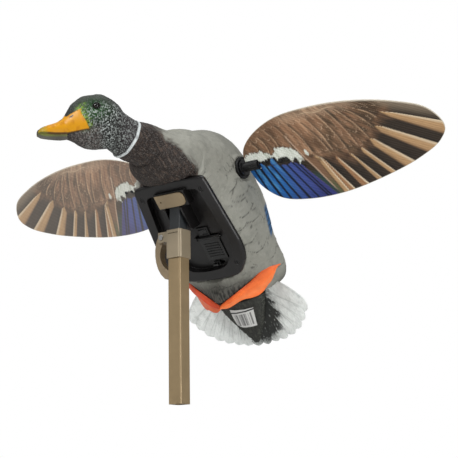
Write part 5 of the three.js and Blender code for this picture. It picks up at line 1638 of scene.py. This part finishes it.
def cell_jacket():
    """A plain printed jacket: a dark body with a copper-coloured band at one end."""
    g = Graph("cell_jacket")
    split = g.add("ShaderNodeSeparateXYZ")
    g.link(g.place, split.inputs[0])
    band = g.ramp(split.outputs["Z"], 0.222, 0.2222)
    base = g.blend(band, [0.03, 0.032, 0.036], [0.42, 0.19, 0.08])
    base = g.blend(g.ramp(g.noise(500.0), 0.4, 0.7, 0.0, 0.15), base, [0.2, 0.2, 0.2])
    return g.finish(base, 0.3, g.rounded(0.0004), Metallic=0.35)


def wire_skin(name, colour):
    """A lead's soft plastic skin."""
    g = Graph(name)
    base = g.blend(g.ramp(g.noise(260.0), 0.35, 0.65), list(colour), list(np.asarray(colour) * 0.75))
    return g.finish(base, 0.4, g.bump(g.noise(1400.0), 0.00004, 0.4))


def numbered(name, count):
    return [f"{name}_{i}" for i in range(1, count + 1)]


def packed_looks():
    """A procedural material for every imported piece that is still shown."""
    tan = moulded("pole_paint", rgb(147, 127, 95), 0.36, 1300.0, 0.00005, 0.06, 0.0006, Metallic=0.4)
    collar = moulded("collar_plastic", rgb(150, 137, 115), 0.34, 1100.0, 0.00005, 0.06, 0.0006, Metallic=0.3)
    clip = moulded("lever_plastic", rgb(128, 112, 88), 0.38, 1100.0, 0.00005, 0.08, 0.0009)
    tray = moulded("tray_plastic", rgb(15, 13, 13), 0.36, 1500.0, 0.00008, 0.10, 0.0008,
                   Specular_IOR_Level=0.4)
    peg = moulded("peg_plastic", rgb(46, 49, 51), 0.42, 1100.0, 0.00007, 0.12, 0.0008)
    door = moulded("door_plastic", rgb(14, 14, 14), 0.40, 1600.0, 0.00008, 0.10, 0.0005)
    holder = moulded("holder_plastic", rgb(16, 16, 17), 0.55, 1500.0, 0.00008, 0.10, 0.0005)
    badge = moulded("badge_plastic", rgb(146, 127, 97), 0.42, 900.0, 0.00006, 0.10, 0.0006)
    black = moulded("black_plastic", rgb(17, 17, 18), 0.32, 1500.0, 0.00005, 0.10, 0.0005)
    nylon = moulded("gear_nylon", rgb(216, 212, 198), 0.45, 1200.0, 0.00004, 0.04, 0.0002)
    frame_grey = moulded("bracket_plastic", rgb(66, 68, 70), 0.5, 1100.0, 0.00007, 0.10, 0.0005)
    steel = metal("steel", (0.55, 0.54, 0.52), 0.30)
    dark_steel = metal("blackened_steel", (0.05, 0.05, 0.05), 0.42)
    spring = metal("contact_strip", (0.62, 0.52, 0.34), 0.28, (1.0, 0.1, 1.0))
    can = metal("motor_can", (0.45, 0.45, 0.46), 0.33, (1.0, 0.05, 1.0))
    magnet = metal("nickel", (0.60, 0.58, 0.54), 0.22, (1.0, 0.3, 1.0))
    red = wire_skin("lead_red", (0.42, 0.02, 0.015))
    dark = wire_skin("lead_black", (0.015, 0.015, 0.016))
    both = ("left", "right")
    looks = {
        tan: ["pole_tube"],
        collar: ["pole_collar"],
        clip: ["clamp_lever"],
        tray: ["belly_tray"],
        peg: ["mounting_peg"],
        door: ["battery_door", "door_latch", "switch_rocker"],
        badge: ["badge_plate"],
        holder: ["battery_holder", "switch_body"],
        nylon: ["drive_gear", "motor_pinion"],
        frame_grey: ["gear_bracket"],
        can: ["motor_can"],
        cell_jacket(): numbered("battery_cell", 4),
        spring: ["battery_contact", "door_contact"],
        red: ["motor_lead_red"],
        dark: ["motor_lead_black", "switch_lead"],
        label_paint(): ["label_sticker"],
        dark_steel: ["head_screw"] + numbered("tray_screw", 4),
        steel: ["lever_pin", "door_hinge_pin", "motor_shaft", "drive_shaft"] + numbered("bracket_screw", 2),
        black: [f"{piece}_{side}" for piece in ("shaft_bush", "wing_hub", "wing_stem") for side in both]
        + [name for side in both for name in numbered(f"wing_rivet_{side}", 3)],
        magnet: [f"hub_magnet_{side}" for side in both],
    }
    for material, names in looks.items():
        for name in names:
            mesh = NODES[name].data
            mesh.materials.clear()
            mesh.materials.append(material)


# ------------------------------------------------------------------ stage it all
studio()
body_skin()
head_skin()
bill_piece()
eyes()
neck_ring()
tail()
undertail()
feet()
wing("left", 1)
# the right wing's print is paled by a painted sheen; both wings carry the same print
wing("right", -1, -0.02, 0.15)
packed_looks()
